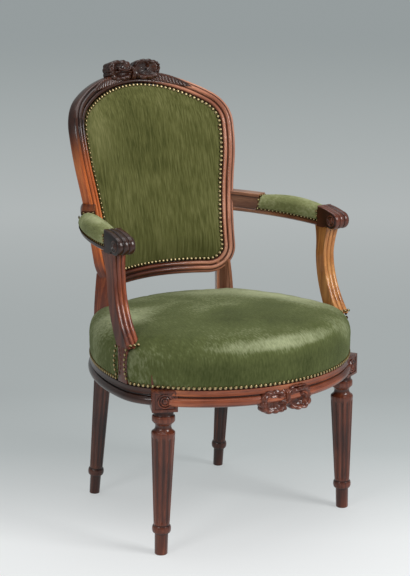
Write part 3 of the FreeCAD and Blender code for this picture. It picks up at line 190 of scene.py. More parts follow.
def walnut(name, tones, blends=(), from_mesh=True, gloss=0.26, grime_and_shade=1.0):
    """Polished walnut in (dark, middle, light) tones; `grime_and_shade` is how strongly its grooves are darkened,
    as dirt and painted shade, and its ridges lightened, as bared wood and painted highlight.

    `blends` lists (axis, start, end, tones) in metres, with the other tones beyond `end`.
    """
    wood = blank(name)
    if from_mesh:
        where = add(wood, "Attribute", attribute_name="grain").outputs["Vector"]
    else:
        where = add(wood, "VectorMath", {0: add(wood, "TexCoord").outputs["Object"], 1: (1000, 1000, 1000)},
                    operation="MULTIPLY").outputs[0]
    # growth rings about 7 mm apart and drawn out along the grain
    figure_at = add(wood, "Mapping", {0: where, "Scale": (0.14, 0.14, 0.006)}).outputs[0]
    figure = add(wood, "TexNoise", {"Vector": figure_at, "Scale": 1.0, "Detail": 4.0, "Roughness": 0.6,
                                    "Distortion": 0.8}).outputs[0]
    # pores about 0.4 mm wide and 8 mm long, drawn three times coarser so that they show
    pore_at = add(wood, "Mapping", {0: where, "Scale": (1.1, 1.1, 0.045)}).outputs[0]
    pores = add(wood, "TexNoise", {"Vector": pore_at, "Scale": 1.0, "Detail": 3.0, "Roughness": 0.7}).outputs[0]
    # the polish is uneven over hand-sized patches
    patch_at = add(wood, "Mapping", {0: where, "Scale": (0.018, 0.018, 0.009)}).outputs[0]
    patches = add(wood, "TexNoise", {"Vector": patch_at, "Scale": 1.0, "Detail": 2.0}).outputs[0]
    toned = add(wood, "Math", {0: figure, 1: 0.55}, operation="MULTIPLY").outputs[0]
    toned = add(wood, "Math", {0: patches, 1: 0.5, 2: toned}, operation="MULTIPLY_ADD").outputs[0]
    places = (0.36, 0.52, 0.70)
    colour = add(wood, "ValToRGB", {0: toned}, list(zip(places, tones))).outputs[0]
    for axis, start, end, other in blends:
        along = add(wood, "SeparateXYZ", {0: add(wood, "TexCoord").outputs["Object"]}).outputs[axis]
        uneven = add(wood, "Math", {0: patches, 1: 0.3 * (end - start), 2: along},
                     operation="MULTIPLY_ADD").outputs[0]
        share = add(wood, "MapRange", {0: uneven, 1: start, 2: end}, interpolation_type="SMOOTHSTEP").outputs[0]
        second = add(wood, "ValToRGB", {0: toned}, list(zip(places, other))).outputs[0]
        colour = add(wood, "Mix", {0: share, 6: colour, 7: second}, data_type="RGBA").outputs[2]
    shade = add(wood, "ValToRGB", {0: pores}, [(0.34, (0.45, 0.45, 0.45, 1)), (0.5, (1, 1, 1, 1))]).outputs[0]
    colour = add(wood, "Mix", {0: 0.75, 6: colour, 7: shade}, data_type="RGBA", blend_type="MULTIPLY").outputs[2]
    rough = add(wood, "MapRange", {0: pores, 1: 0.3, 2: 0.7, 3: gloss + 0.2, 4: gloss}).outputs[0]
    if from_mesh:
        # darker in the grooves as dirt and painted shade, lighter on the ridges as bared wood and painted highlight
        worn_and_shaded = add(wood, "Attribute", attribute_name="wear_and_shading").outputs["Fac"]
        stain_and_shade = add(wood, "ValToRGB", {0: worn_and_shaded}, [
            (0.0, (0.28, 0.24, 0.22, 1)), (0.4, (0.78, 0.75, 0.73, 1)), (1.0, (1.2, 1.15, 1.1, 1))]).outputs[0]
        colour = add(wood, "Mix", {0: grime_and_shade, 6: colour, 7: stain_and_shade}, data_type="RGBA",
                     blend_type="MULTIPLY").outputs[2]
    bump = add(wood, "Bump", {"Strength": 0.25, "Distance": 0.0006, "Height": pores}).outputs[0]
    surface(wood, add(wood, "BsdfPrincipled", {"Base Color": colour, "Roughness": rough, "Normal": bump, **POLISH}))
    return wood


DARK = ("#1a0c08", "#34190f", "#56301f")
BROWN = ("#2e130c", "#5c2c1c", "#864a31")
ROSE = ("#74402e", "#b0745a", "#d6a188")
# walnut nearly black where stain and wax have gathered, as on the crest
dark_walnut = walnut("walnut_dark_stained", DARK)
# walnut in its even red-brown polish
brown_walnut = walnut("walnut_brown_polished", BROWN)
# the crest: dark on the left, rubbed to a pale rose brown on the right
crest_walnut = walnut("walnut_crest", DARK, [(0, 0.02, 0.13, ROSE)])


def new_shape():
    """An empty mesh in millimetres that keeps each point's number, grain place and wear."""
    shape = bmesh.new()
    shape.verts.layers.int.new("number")
    shape.verts.layers.float_vector.new("grain")
    shape.verts.layers.float.new("wear_and_shading")
    return shape


def sweep(shape, stops, profile, put, closed=True, along=None):
    """Extrudes the outline `profile(stop)` of (across, depth, wear) from stop to stop; `put` places it."""
    number = shape.verts.layers.int["number"]
    grain = shape.verts.layers.float_vector["grain"]
    wear_and_shading = shape.verts.layers.float["wear_and_shading"]

    def settle(verts, index):
        stop = stops[index]
        outline = profile(stop)
        for vert in verts:
            across, depth, worn_and_shaded = outline[vert[number]]
            vert.co = put(stop, across, depth)
            vert[grain] = (across, depth, along[index] if along else stop)
            vert[wear_and_shading] = worn_and_shaded

    verts = [shape.verts.new() for _ in profile(stops[0])]
    for i, vert in enumerate(verts):
        vert[number] = i
    pairs = zip(verts, verts[1:] + verts[:1]) if closed else zip(verts, verts[1:])
    first = edges = [shape.edges.new(pair) for pair in pairs]
    settle(verts, 0)
    for index in range(1, len(stops)):
        out = bmesh.ops.extrude_edge_only(shape, edges=edges)["geom"]
        edges = [item for item in out if isinstance(item, bmesh.types.BMEdge)]
        settle([item for item in out if isinstance(item, bmesh.types.BMVert)], index)
    if closed:
        bmesh.ops.edgeloop_fill(shape, edges=first)
        bmesh.ops.edgeloop_fill(shape, edges=edges)


def bead(start, end, foot, top, count):
    """Points over a round bead or hollow between two places of a profile, lightest at its top as bared wood and
    painted highlight, darkest at its feet as dirt and painted shade.
    """
    points = []
    for i in range(count + 1):
        turn = math.pi * i / count
        points.append(((start + end) / 2 - (end - start) / 2 * math.cos(turn),
                       foot + (top - foot) * math.sin(turn), math.sin(turn)))
    return points


def dress(shape, name, material, nodes=(), left=False, sharp=32):
    """Turns a shape in millimetres into a finished piece of the chair, mirrored to the left if asked."""
    if left:
        bmesh.ops.scale(shape, vec=(-1, 1, 1), verts=shape.verts)
    bmesh.ops.scale(shape, vec=(0.001, 0.001, 0.001), verts=shape.verts)
    bmesh.ops.translate(shape, vec=(0, SHIFT_Y, 0), verts=shape.verts)
    bmesh.ops.recalc_face_normals(shape, faces=shape.faces)
    for face in shape.faces:
        face.smooth = True
    for edge in shape.edges:
        if len(edge.link_faces) == 2 and edge.calc_face_angle(0) > math.radians(sharp):
            edge.smooth = False
    data = bpy.data.meshes.new(name)
    shape.to_mesh(data)
    shape.free()
    data.materials.append(material)
    piece = bpy.data.objects.new(name, data)
    bpy.context.scene.collection.objects.link(piece)
    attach(piece, "root")
    if nodes:
        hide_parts(*nodes)
    return piece


SIGHT_STEP = 4.0
RAKE = math.tan(math.radians(13.9))
HOLLOW = 300


def sight_half():
    """(x, z) down the right half of the nailed edge of the back, arc by arc from the top."""
    x, z, heading = 0.0, 863.0, 0.0
    line = [(x, z)]
    for radius, turn in ((262, 33.8), (50, 56.2), (500, 10), (1290, -7.7), (34, 90.4), (0, -2.7)):
        radius = radius or x / math.sin(math.radians(-turn))
        pieces = max(3, round(radius * math.radians(abs(turn)) / SIGHT_STEP))
        for _ in range(pieces):
            part = math.radians(turn / pieces)
            chord = 2 * radius * math.sin(abs(part) / 2)
            x += chord * math.cos(heading - part / 2)
            z += chord * math.sin(heading - part / 2)
            heading -= part
            line.append((x, z))
    return line


half_line = sight_half()
sight_line = half_line + [(-x, z) for x, z in reversed(half_line[1:-1])]
SIGHT_COUNT = len(sight_line)


def rearward(x):
    """The direction straight into the back from its show face, at a place across it."""
    return Vector((x / math.sqrt(HOLLOW ** 2 - x * x), 1, -RAKE)).normalized()


def face_of_back(x, z, deep=0.0):
    """A place on the raked, hollow show face of the back, or behind it."""
    near = Vector((x, 197 + RAKE * (z - 650) - (HOLLOW - math.sqrt(HOLLOW ** 2 - x * x)), z))
    return near + rearward(x) * deep


def off_sight(index, across, deep):
    """A place off the nailed edge: outward across the moulding and behind the show face."""
    x, z = sight_line[index % SIGHT_COUNT]
    xa, za = sight_line[(index - 1) % SIGHT_COUNT]
    xb, zb = sight_line[(index + 1) % SIGHT_COUNT]
    run = math.hypot(xb - xa, zb - za)
    near = face_of_back(x, z)
    outward = (face_of_back(x - (zb - za) / run, z + (xb - xa) / run) - near).normalized()
    return near + outward * across + rearward(x) * deep


frame_profile = [(-9, 28, 0.4), (-9, 8, 0.1), (0, 8, 0.0), (0.2, 5.0, 0.0)]
frame_profile += bead(0.9, 9.6, 4.6, -0.5, 8)
frame_profile += bead(11.2, 20.4, 5.0, -0.1, 9)
frame_profile += [(21.6, 5.2, 0.0), (22.4, 4.4, 0.5), (24.2, 5.0, 0.9), (25.6, 6.8, 0.9), (26.25, 9.5, 0.8),
                  (26.25, 23.0, 0.5), (25.4, 25.6, 0.6), (23.4, 27.4, 0.6), (21.4, 28.0, 0.5)]


def frame_member(shape, start, end):
    """The moulding between two numbered places of the nailed edge."""
    sweep(shape, list(range(start, end + 1)), lambda stop: frame_profile, off_sight,
          along=[i * SIGHT_STEP for i in range(start, end + 1)])


CREST_END = next(i for i, (x, z) in enumerate(half_line) if z < 800)
FOOT_END = next(i for i, (x, z) in enumerate(half_line) if z < 520 and x < 112)

crest = new_shape()
frame_member(crest, -CREST_END, CREST_END)
dress(crest, "crest_rail_moulding", crest_walnut, ["crest_rail"])

lower = new_shape()
frame_member(lower, FOOT_END, SIGHT_COUNT - FOOT_END)
# the lower rail: red-brown, rubbed to rose where the stile on the right was handled
lower_walnut = walnut("walnut_lower_back_rail", BROWN, [(0, 0.02, 0.12, ROSE)])
dress(lower, "lower_back_rail_moulding", lower_walnut, ["lower_back_rail"])


# The ribbon carved on the crest, in one with the rail: two gathered loops tied by a knot, their ends
# laid in slanting folds down the moulding. The folds and rims are painted bright as highlight, and the
# hollows painted dark as shade.

BOW_X, BOW_Z = -8.0, 889.0


def ribbon_loop(shape, put, centre, reach, start, end, pleats, rise, behind):
    """Gathered loop of ribbon round a centre, in degrees: hollow at the knot, pleated, rolled at its rim."""
    def section(turn):
        share = (turn - start) / (end - start)
        fold = abs(math.sin(math.pi * pleats * share + 0.5 * math.sin(9 * share))) ** 0.7
        low = min(1.0, 0.3 + 4 * min(share, 1 - share)) * (1 + 0.25 * math.sin(13 * share + start))
        points = [(0.1, behind, 0.3)]
        for j in range(12):
            out = 0.1 + 0.9 * j / 11
            roll = math.exp(-((out - 0.8) / 0.17) ** 2)
            height = low * (1.0 + rise * (0.35 * out + 0.65 * roll) + 2.0 * fold * out)
            points.append((out * (0.92 + 0.08 * fold), -height, min(1.0, 0.15 + 0.45 * roll + 0.5 * fold * out)))
        rim = 0.92 + 0.08 * fold
        points += [(rim * 1.03, 0.0, 0.6), (rim, behind, 0.4)]
        return points

    def place(turn, out, deep):
        angle = math.radians(turn)
        across, up = math.cos(angle), math.sin(angle)
        square = (abs(across) ** 3 + abs(up) ** 3) ** (1 / 3)
        return put(centre[0] + reach[0] * out * across / square, centre[1] + reach[1] * out * up / square, deep)

    count = pleats * 7
    sweep(shape, [start + (end - start) * i / count for i in range(count + 1)], section, place)


def knot(shape, put, centre, half_width, half_height, rise, behind):
    """Tied middle of the ribbon: a short roll with three upright folds."""
    def section(share):
        swell = math.sqrt(max(0.0, 1 - share * share))
        points = [(-1.0, behind, 0.2)]
        for j in range(19):
            across = -1 + 2 * j / 18
            fold = abs(math.sin(1.5 * math.pi * (across + 1)))
            points.append((across, -(rise * math.sqrt(max(0.0, 1 - across * across)) + 1.6 * fold) * swell - 0.5,
                           0.2 + 0.8 * fold))
        return points + [(1.0, behind, 0.2)]

    def place(share, across, deep):
        waist = half_width * (0.8 + 0.35 * share * share)
        return put(centre[0] + across * waist, centre[1] + share * half_height, deep)

    sweep(shape, [-0.98 + 1.96 * i / 12 for i in range(13)], section, place)


def along_sight(distance, across, deep):
    """Like off_sight, at a distance in millimetres round the nailed edge from the top."""
    index = math.floor(distance / SIGHT_STEP)
    share = distance / SIGHT_STEP - index
    return off_sight(index, across, deep).lerp(off_sight(index + 1, across, deep), share)


TAIL_START, TAIL_LENGTH = 34, 86


def tail(shape, side):
    """End of the ribbon, lying down the moulding in slanting folds and narrowing to a point."""
    def section(distance):
        share = (distance - TAIL_START) / TAIL_LENGTH
        wide = 10.5 * (1 - share ** 3)
        middle = 14.5 + 2.0 * share
        points = [(middle - wide, 6.0, 0.2)]
        for j in range(15):
            across = -1 + 2 * j / 14
            fold = abs(math.sin(math.pi * (distance + 5.0 * across) / 7.0)) ** 0.8
            height = (1.2 + 2.4 * fold) * math.sqrt(max(0.0, 1 - across * across)) * (1 - 0.5 * share)
            points.append((middle + wide * across, 0.4 - height, 0.1 + 0.9 * fold))
        return points + [(middle + wide, 6.0, 0.2)]

    sweep(shape, [TAIL_START + i for i in range(TAIL_LENGTH)], section,
          lambda distance, across, deep: along_sight(side * distance, across, deep))


crest_ribbon = new_shape()
for side in (1, -1):
    middle = 90 - 90 * side
    # (across from the knot, above it, half width, half height, start, end, pleats, rise, depth behind)
    for across, above, wide, high, start, end, pleats, rise, behind_face in (
            (33, 1, 30, 21, 180, 540, 12, 7.0, 18), (22, 8, 19, 11, -20, 200, 5, 9.0, 3),
            (30, -9, 26, 9, 170, 370, 6, 8.0, 3), (50, 5, 15, 13, -100, 100, 6, 8.0, 3)):
        ribbon_loop(crest_ribbon, face_of_back, (BOW_X + across * side, BOW_Z + above), (wide, high),
                    middle + start, middle + end, pleats, rise, behind_face)
    tail(crest_ribbon, side)
knot(crest_ribbon, face_of_back, (BOW_X, BOW_Z - 5), 6, 13, 10.0, 4)
dress(crest_ribbon, "crest_ribbon_carving", dark_walnut, sharp=50)


# Back legs: each is sawn in one with its post and stile from a walnut plank, then turned and fluted
# below the seat and moulded above it. A sunk panel runs up the front of the post.

FLUTES = 10


def grained(shape, known):
    """Runs the grain upright through the points that aren't known yet, and returns them."""
    grain = shape.verts.layers.float_vector["grain"]
    fresh = [vert for vert in shape.verts if vert not in known]
    for vert in fresh:
        vert[grain] = vert.co
    return fresh


def turned(shape, profile, count=48):
    """Spins a (radius, height, wear) profile about the upright axis and returns its points."""
    wear_and_shading = shape.verts.layers.float["wear_and_shading"]
    known = set(shape.verts)
    points = []
    for radius, height, worn_and_shaded in profile:
        vert = shape.verts.new((radius, 0, height))
        vert[wear_and_shading] = worn_and_shaded
        points.append(vert)
    edges = [shape.edges.new(pair) for pair in zip(points, points[1:])]
    bmesh.ops.spin(shape, geom=points + edges, cent=(0, 0, 0), axis=(0, 0, 1), angle=math.tau, steps=count,
                   use_merge=True)
    fresh = [vert for vert in shape.verts if vert not in known]
    bmesh.ops.remove_doubles(shape, verts=fresh, dist=0.01)
    return grained(shape, known)


def fluted(shape, low, high, foot_r, top_r, depth=2.6):
    """Tapered shaft with hollow flutes whose ends are round, and returns its points."""
    known = set(shape.verts)
    stops = [low, low + 4] + [low + 6 + 2 * i for i in range(5)]
    stops += [low + 18 + (high - low - 36) * i / 14 for i in range(15)]
    stops += [high - 14 + 2 * i for i in range(5)] + [high - 3, high]

    def girth(stop):
        share = (stop - low) / (high - low)
        radius = foot_r + (top_r - foot_r) * share
        near = min(stop - low - 4, high - 4 - stop)
        hollow = depth * radius / top_r * math.sqrt(max(0.0, 1 - (1 - min(1.0, max(0.0, near) / 9)) ** 2))
        outline = []
        for i in range(FLUTES):
            for j in range(10):
                place = j / 10
                turn = math.tau * (i + place) / FLUTES
                sunk = math.sin(math.pi * min(1.0, place / 0.7)) if place < 0.7 else 0.0
                outline.append((turn, radius - hollow * sunk, 1.0 - 0.9 * sunk * (hollow / depth)))
        return outline

    sweep(shape, stops, girth, lambda stop, turn, r: Vector((r * math.cos(turn), r * math.sin(turn), stop)))
    return grained(shape, known)


def foot_of_leg(ring, foot, shaft):
    """Profile of the plain foot and the ring above it."""
    profile = [(0, 0, 0.3), (foot - 0.8, 0, 0.6), (foot, 1.2, 0.8), (foot + 0.6, 40, 0.5), (foot + 0.9, 43, 0.0),
               (ring - 1.6, 43.4, 0.1)]
    for i in range(9):
        turn = math.pi * i / 8
        profile.append((ring - 1.4 + 2.6 * math.sin(turn), 51.2 - 7.4 * math.cos(turn), math.sin(turn)))
    return profile + [(shaft + 0.2, 59.4, 0.0), (shaft, 61, 0.4), (0, 61, 0.4)]


POST_X, POST_Y, POST_LOW, POST_TURN = 154.6, 142, 297, -28
post_top = face_of_back(140.7, 487.6, 17.4)


def post_middle(z):
    """Axis of the right post between the seat rail and the foot of the stile."""
    share = min(1.0, max(0.0, (z - POST_LOW) / (post_top.z - POST_LOW)))
    return POST_X + (post_top.x - POST_X) * share, POST_Y + (post_top.y - POST_Y) * share


def post_place(z, across, deep):
    """A place in the post, turned as it stands."""
    x, y = post_middle(z)
    turn = math.radians(POST_TURN)
    return Vector((x + across * math.cos(turn) - deep * math.sin(turn),
                   y + across * math.sin(turn) + deep * math.cos(turn), z))


def post_profile(z):
    """Section of the post with its sunk panel, slimmer outside towards the stile."""
    sunk = 1.8 if z < 474 else max(0.0, 1.8 * (482 - z) / 8)
    slim = 2.0 + 6.0 * max(0.0, (z - 415) / 71) ** 1.5
    return [(-19, -16, 0.8), (-18, -17, 0.9), (-13.4, -17, 0.7), (-12.2, -17 + sunk, 0.0),
            (12.2 - slim, -17 + sunk, 0.3), (13.4 - slim, -17, 0.7), (18 - slim, -17, 0.9), (19 - slim, -16, 0.8),
            (19 - slim, 16, 0.6), (18 - slim, 17, 0.6), (-18, 17, 0.6), (-19, 16, 0.6)]


# painted shade for the legs below the seat
UNDER_SEAT_SHADE = ("#23100b", "#48241a", "#70402d")
POST_RED = ("#43190d", "#79381f", "#a85c34")
RED = ("#843a1a", "#c4652c", "#e28f4c")
# the left stile glows red, dark at the shoulder and red-brown down the post, with painted shade on the leg below the
# seat
left_stile_walnut = walnut("walnut_left_stile", RED, [
    (2, 0.53, 0.48, POST_RED), (2, 0.36, 0.30, UNDER_SEAT_SHADE), (2, 0.70, 0.80, DARK)])
# the right stile is rubbed to a pale rose brown above the seat, with painted shade on the leg below it
right_stile_walnut = walnut("walnut_right_stile", ROSE, [(2, 0.36, 0.30, UNDER_SEAT_SHADE)])


def sided(name, left):
    """The name of the left or right one of a pair."""
    return name + ("_left" if left else "_right")


def stile_and_leg(left):
    """Stile, post and turned leg in one piece."""
    shape = new_shape()
    frame_member(shape, CREST_END, FOOT_END)
    sweep(shape, [POST_LOW + 8 * i for i in range(24)] + [486], post_profile, post_place)
    foot_point, top_point = Vector((161.5, 178.1, 0)), Vector((POST_X, POST_Y, POST_LOW))
    reach = (top_point - foot_point).length
    fresh = turned(shape, foot_of_leg(15.6, 10.8, 13.6))
    fresh += fluted(shape, 60, reach - 4, 13.6, 18.6, 2.1)
    turn = (top_point - foot_point).to_track_quat("Z", "Y").to_matrix().to_4x4()
    bmesh.ops.transform(shape, matrix=Matrix.Translation(foot_point) @ turn, verts=fresh)
    for vert in fresh:
        vert.co.z = max(vert.co.z, 0.0)
    name = sided("back_leg_and_stile", left)
    dress(shape, name + "_moulded", left_stile_walnut if left else right_stile_walnut, [name], left=left)


for left in (False, True):
    stile_and_leg(left)


# Front legs: the square block takes both rails in mortises and carries a sunk panel with a turned
# rosette; below it come a collar, a neck, the fluted taper, a ring and a plain foot.

LEG_DEGREES, LEG_REACH = -40.74, 285.8
LEG_X, LEG_Y = LEG_REACH * math.cos(math.radians(LEG_DEGREES)), LEG_REACH * math.sin(math.radians(LEG_DEGREES))
BLOCK_LOW, BLOCK_TURN = 287.5, 26


def squared(shape, low, high, bevel):
    """A box with eased edges, and returns its points."""
    known = set(shape.verts)
    made = bmesh.ops.create_cube(shape, size=1.0)["verts"]
    size = Vector(high) - Vector(low)
    bmesh.ops.scale(shape, vec=size, verts=made)
    bmesh.ops.translate(shape, vec=(Vector(high) + Vector(low)) / 2, verts=made)
    edges = list({edge for vert in made for edge in vert.link_edges})
    bmesh.ops.bevel(shape, geom=edges, offset=bevel, segments=2, profile=0.5, affect="EDGES", material=-1)
    wear_and_shading = shape.verts.layers.float["wear_and_shading"]
    fresh = grained(shape, known)
    for vert in fresh:
        vert[wear_and_shading] = 0.7
    return fresh


def sink_panel(shape, face, margin, depth):
    """Insets a face and pushes its middle in, its sunk edges darkened as dirt and painted shade."""
    wear_and_shading = shape.verts.layers.float["wear_and_shading"]
    bmesh.ops.inset_region(shape, faces=[face], thickness=margin, depth=0, use_even_offset=True)
    bmesh.ops.inset_region(shape, faces=[face], thickness=1.0, depth=-depth, use_even_offset=True)
    for vert in face.verts:
        vert[wear_and_shading] = 0.15
    bmesh.ops.inset_region(shape, faces=[face], thickness=1.5, depth=0, use_even_offset=True)
    for vert in face.verts:
        vert[wear_and_shading] = 0.6


def rosette(shape):
    """Ringed rosette turned about the Y axis, facing -Y, with its back at 0."""
    rings = [(14.2, 0, 0.0), (14.2, 1.6, 0.7), (13.2, 2.6, 1.0), (11.8, 2.6, 0.9), (10.9, 0.9, 0.0),
             (9.8, 0.7, 0.0), (9.0, 2.2, 0.9), (8.0, 2.8, 1.0), (6.6, 2.3, 0.8), (5.6, 0.7, 0.0),
             (4.9, 0.8, 0.0), (4.4, 2.6, 0.8), (2.6, 3.8, 1.0), (0, 4.1, 1.0)]
    fresh = turned(shape, rings, 32)
    bmesh.ops.rotate(shape, cent=(0, 0, 0), matrix=Matrix.Rotation(math.radians(90), 3, "X"), verts=fresh)
    return fresh


def front_leg(left):
    """Turned leg under its panelled block."""
    shape = new_shape()
    legs = turned(shape, foot_of_leg(17.2, 12.5, 15.4))
    legs += fluted(shape, 60, 240, 15.4, 22.8)
    head = [(0, 239, 0.4), (22.8, 239, 0.7), (23.0, 242.0, 1.0), (22.4, 244.2, 1.0), (20.6, 245.8, 0.9),
            (18.2, 247.6, 0.7), (16.4, 250.2, 0.4), (15.4, 253.4, 0.1), (15.3, 255.8, 0.0), (15.9, 258.4, 0.2),
            (17.6, 261.0, 0.5), (19.4, 262.6, 0.9), (20.0, 263.6, 0.3), (20.2, 264.4, 0.0), (21.6, 265.0, 0.8),
            (22.2, 266.4, 1.0), (22.2, 274.0, 0.7), (21.4, 276.0, 0.9), (19.6, 277.0, 0.3), (19.0, 278.0, 0.0),
            (19.2, 289.0, 0.0), (0, 289.0, 0.0)]
    legs += turned(shape, head)
    bmesh.ops.translate(shape, vec=(0, 0, -BLOCK_LOW), verts=legs)
    bmesh.ops.rotate(shape, cent=(0, 0, 0), matrix=Matrix.Rotation(math.radians(-1.6), 3, "Y"), verts=legs)
    bmesh.ops.translate(shape, vec=(0, 0, BLOCK_LOW), verts=legs)
    for vert in legs:
        vert.co.z = max(vert.co.z, 0.0)
    block = squared(shape, (-24.5, -23.5, BLOCK_LOW), (24.5, 22, 329.8), 0.8)
    front = min((face for face in shape.faces if set(face.verts) <= set(block)),
                key=lambda face: face.calc_center_median().y)
    known = set(shape.verts)
    sink_panel(shape, front, 4.4, 2.0)
    boss = rosette(shape)
    bmesh.ops.translate(shape, vec=(0, -21.6, 308.6), verts=boss)
    upper = squared(shape, (-23.5, -7.5, 329), (23.5, 22, 356.8), 0.8)
    body = block + upper + [vert for vert in shape.verts if vert not in known and vert not in set(upper)]
    bmesh.ops.rotate(shape, cent=(0, 0, 0), matrix=Matrix.Rotation(math.radians(BLOCK_TURN), 3, "Z"),
                     verts=list(set(body)))
    bmesh.ops.translate(shape, vec=(LEG_X, LEG_Y, 0), verts=shape.verts)
    name = sided("front_leg", left)
    dress(shape, name + "_turned", brown_walnut, [name], left=left)


for left in (False, True):
    front_leg(left)


# Seat rails: bent from thick walnut, each with a fascia under the nails, a dark hollow and a torus
# along its lower edge, tenoned into the leg blocks.

FRONT_RADIUS, CORNER_RADIUS, SIDE_RADIUS = 300, 100, 450
SEAT_HALF_WIDTH, SIDE_END_Y = 264, 150.3
front_centre = (0, 0)


def seat_plan(degrees_step):
    """(centre, radius, degrees) round the right half of the seat, arc by arc from the middle of the front."""
    join = FRONT_RADIUS - CORNER_RADIUS
    corner_deg = -math.degrees(math.acos((SEAT_HALF_WIDTH - CORNER_RADIUS) / join))
    corner = (join * math.cos(math.radians(corner_deg)), join * math.sin(math.radians(corner_deg)))
    side = (SEAT_HALF_WIDTH - SIDE_RADIUS, corner[1])
    side_end = math.degrees(math.asin((SIDE_END_Y - side[1]) / SIDE_RADIUS))
    line = []
    for centre, radius, start, end in ((front_centre, FRONT_RADIUS, -90, corner_deg),
                                       (corner, CORNER_RADIUS, corner_deg, 0), (side, SIDE_RADIUS, 0, side_end)):
        pieces = max(2, round(abs(end - start) * radius / FRONT_RADIUS / degrees_step))
        line += [(centre, radius, start + (end - start) * i / pieces) for i in range(1 if line else 0, pieces + 1)]
    return line


def plan_point(stop, out):
    """(x, y) at a stop of the seat's plan, or outward of it."""
    centre, radius, degrees = stop
    return (centre[0] + (radius + out) * math.cos(math.radians(degrees)),
            centre[1] + (radius + out) * math.sin(math.radians(degrees)))


rail_profile = [(-28, 297, 0.5)] + [(out, z, worn_and_shaded) for z, out, worn_and_shaded in bead(297, 315, -3, 5.2, 10)]
rail_profile += [(-3.2, 315.4, 0.0), (-3.2, 317.4, 0.0), (0.2, 318.2, 0.3), (1.2, 319.2, 0.9), (0.6, 321.0, 0.7),
                 (0.2, 325.0, 0.5), (0.8, 329.0, 0.6), (0.6, 330.0, 0.5), (-3, 330.0, 0.1), (-3, 357, 0.1),
                 (-28, 357, 0.3)]


def seat_rail(shape, line):
    """Rail with its moulding through the stops of a line."""
    lengths = [0.0]
    for a, b in zip(line, line[1:]):
        ax, ay = plan_point(a, 0)
        bx, by = plan_point(b, 0)
        lengths.append(lengths[-1] + math.hypot(bx - ax, by - ay))

    def put(stop, out, z):
        x, y = plan_point(stop, out)
        return Vector((x, y, z))

    sweep(shape, line, lambda stop: rail_profile, put, along=lengths)


right_plan = seat_plan(2.0)
leg_stop = (front_centre, FRONT_RADIUS, LEG_DEGREES)
front_half = [stop for stop in right_plan if stop[1] == FRONT_RADIUS and stop[2] < -41] + [leg_stop]
front_line = [(front_centre, FRONT_RADIUS, -180 - stop[2]) for stop in reversed(front_half[1:])] + front_half
side_line = [leg_stop] + [stop for stop in right_plan if stop[1] != FRONT_RADIUS or stop[2] > -40]

front_rail = new_shape()
seat_rail(front_rail, front_line)
# the front rail: warm brown, rubbed, darker towards the right leg
front_walnut = walnut("walnut_front_rail", ("#5a2a1b", "#944f33", "#c47a50"), [(0, 0.10, 0.20, BROWN)])
dress(front_rail, "front_rail_moulding", front_walnut, ["front_rail"])

# the right rail: deep brown in the shade of the seat
right_rail_walnut = walnut("walnut_right_rail", ("#26100a", "#4a2215", "#733d26"))
for left in (False, True):
    side_rail = new_shape()
    seat_rail(side_rail, side_line)
    name = sided("side_rail", left)
    dress(side_rail, name + "_moulding", dark_walnut if left else right_rail_walnut, [name], left=left)


# The ribbon carved on the middle of the front rail, in one with it: two loops hang below the rail's
# edge on each side of a knot, with two short ends above that reach the nails.

APRON_X = -12.0


def face_of_rail(x, z, deep):
    """A place on the bowed face of the front rail, or behind it."""
    reach = FRONT_RADIUS - deep
    return Vector((x, -math.sqrt(reach * reach - x * x), z))


rail_ribbon = new_shape()
for side in (1, -1):
    middle = 90 - 90 * side
    turned_by = 90 * (side - 1)
    # (across from the knot, height, half width, half height, start, end, pleats, rise, depth behind)
    for across, height, wide, high, start, end, pleats, rise, behind_face in (
            (30, 300, 28, 22.5, 180, 540, 11, 7.5, 9),
            (24, 295, 21, 16.5, turned_by - 70, turned_by + 70 + 20 * side, 5, 9.0, 2),
            (26, 317, 22, 10, -30, 210, 6, 5.0, 2)):
        ribbon_loop(rail_ribbon, face_of_rail, (APRON_X + across * side, height), (wide, high),
                    middle + start, middle + end, pleats, rise, behind_face)
knot(rail_ribbon, face_of_rail, (APRON_X, 308), 7, 14, 9.0, 2)
# its folds and rims are painted bright as highlight and its hollows dark as shade, as on the crest's ribbon
dress(rail_ribbon, "front_rail_ribbon_carving", brown_walnut, sharp=50)


# Arms: sawn to a curve in plan from walnut. A panelled block meets the stile, a thin bed carries the
# pad, and the front is reeded; the three reeds curl over a scroll with a turned eye on each side.

ARM_RADIUS, ARM_BEND, ARM_ROOT_TURN = 420, math.radians(32), math.radians(35)
ARM_LENGTH = ARM_RADIUS * ARM_BEND + 44
PAD_START, PAD_END = 68, 236
SCROLL_Z, SCROLL_RADIUS, REED_HALF_WIDTH = 593.0, 17.6, 18.5


def arm_place(s, across, z):
    """A place along the right arm from its root, across it, at a height."""
    bent = min(s, ARM_RADIUS * ARM_BEND)
    heading = ARM_ROOT_TURN - bent / ARM_RADIUS
    x = 180 + ARM_RADIUS * (math.cos(heading) - math.cos(ARM_ROOT_TURN)) + (s - bent) * math.sin(heading)
    y = 150 - ARM_RADIUS * (math.sin(ARM_ROOT_TURN) - math.sin(heading)) - (s - bent) * math.cos(heading)
    return Vector((x + across * math.cos(heading), y + across * math.sin(heading), z))


def arm_low(s):
    """Height of the arm's underside."""
    return 588 - 13 * min(1.0, s / ARM_LENGTH)


def arm_high(s):
    """Height of the reeds behind the scroll."""
    fall = max(0.0, (s - PAD_END) / (ARM_LENGTH - PAD_END))
    full = arm_low(s) + 43
    return full + (611 - full) * fall ** 2


def both_sides(half, side):
    """Section from its right side, mirrored to the left and closed below by its eased edges."""
    return [(half, 0, 0.6)] + side + [(-a, b, w) for a, b, w in reversed(side)] + [(-half, 0, 0.6)]


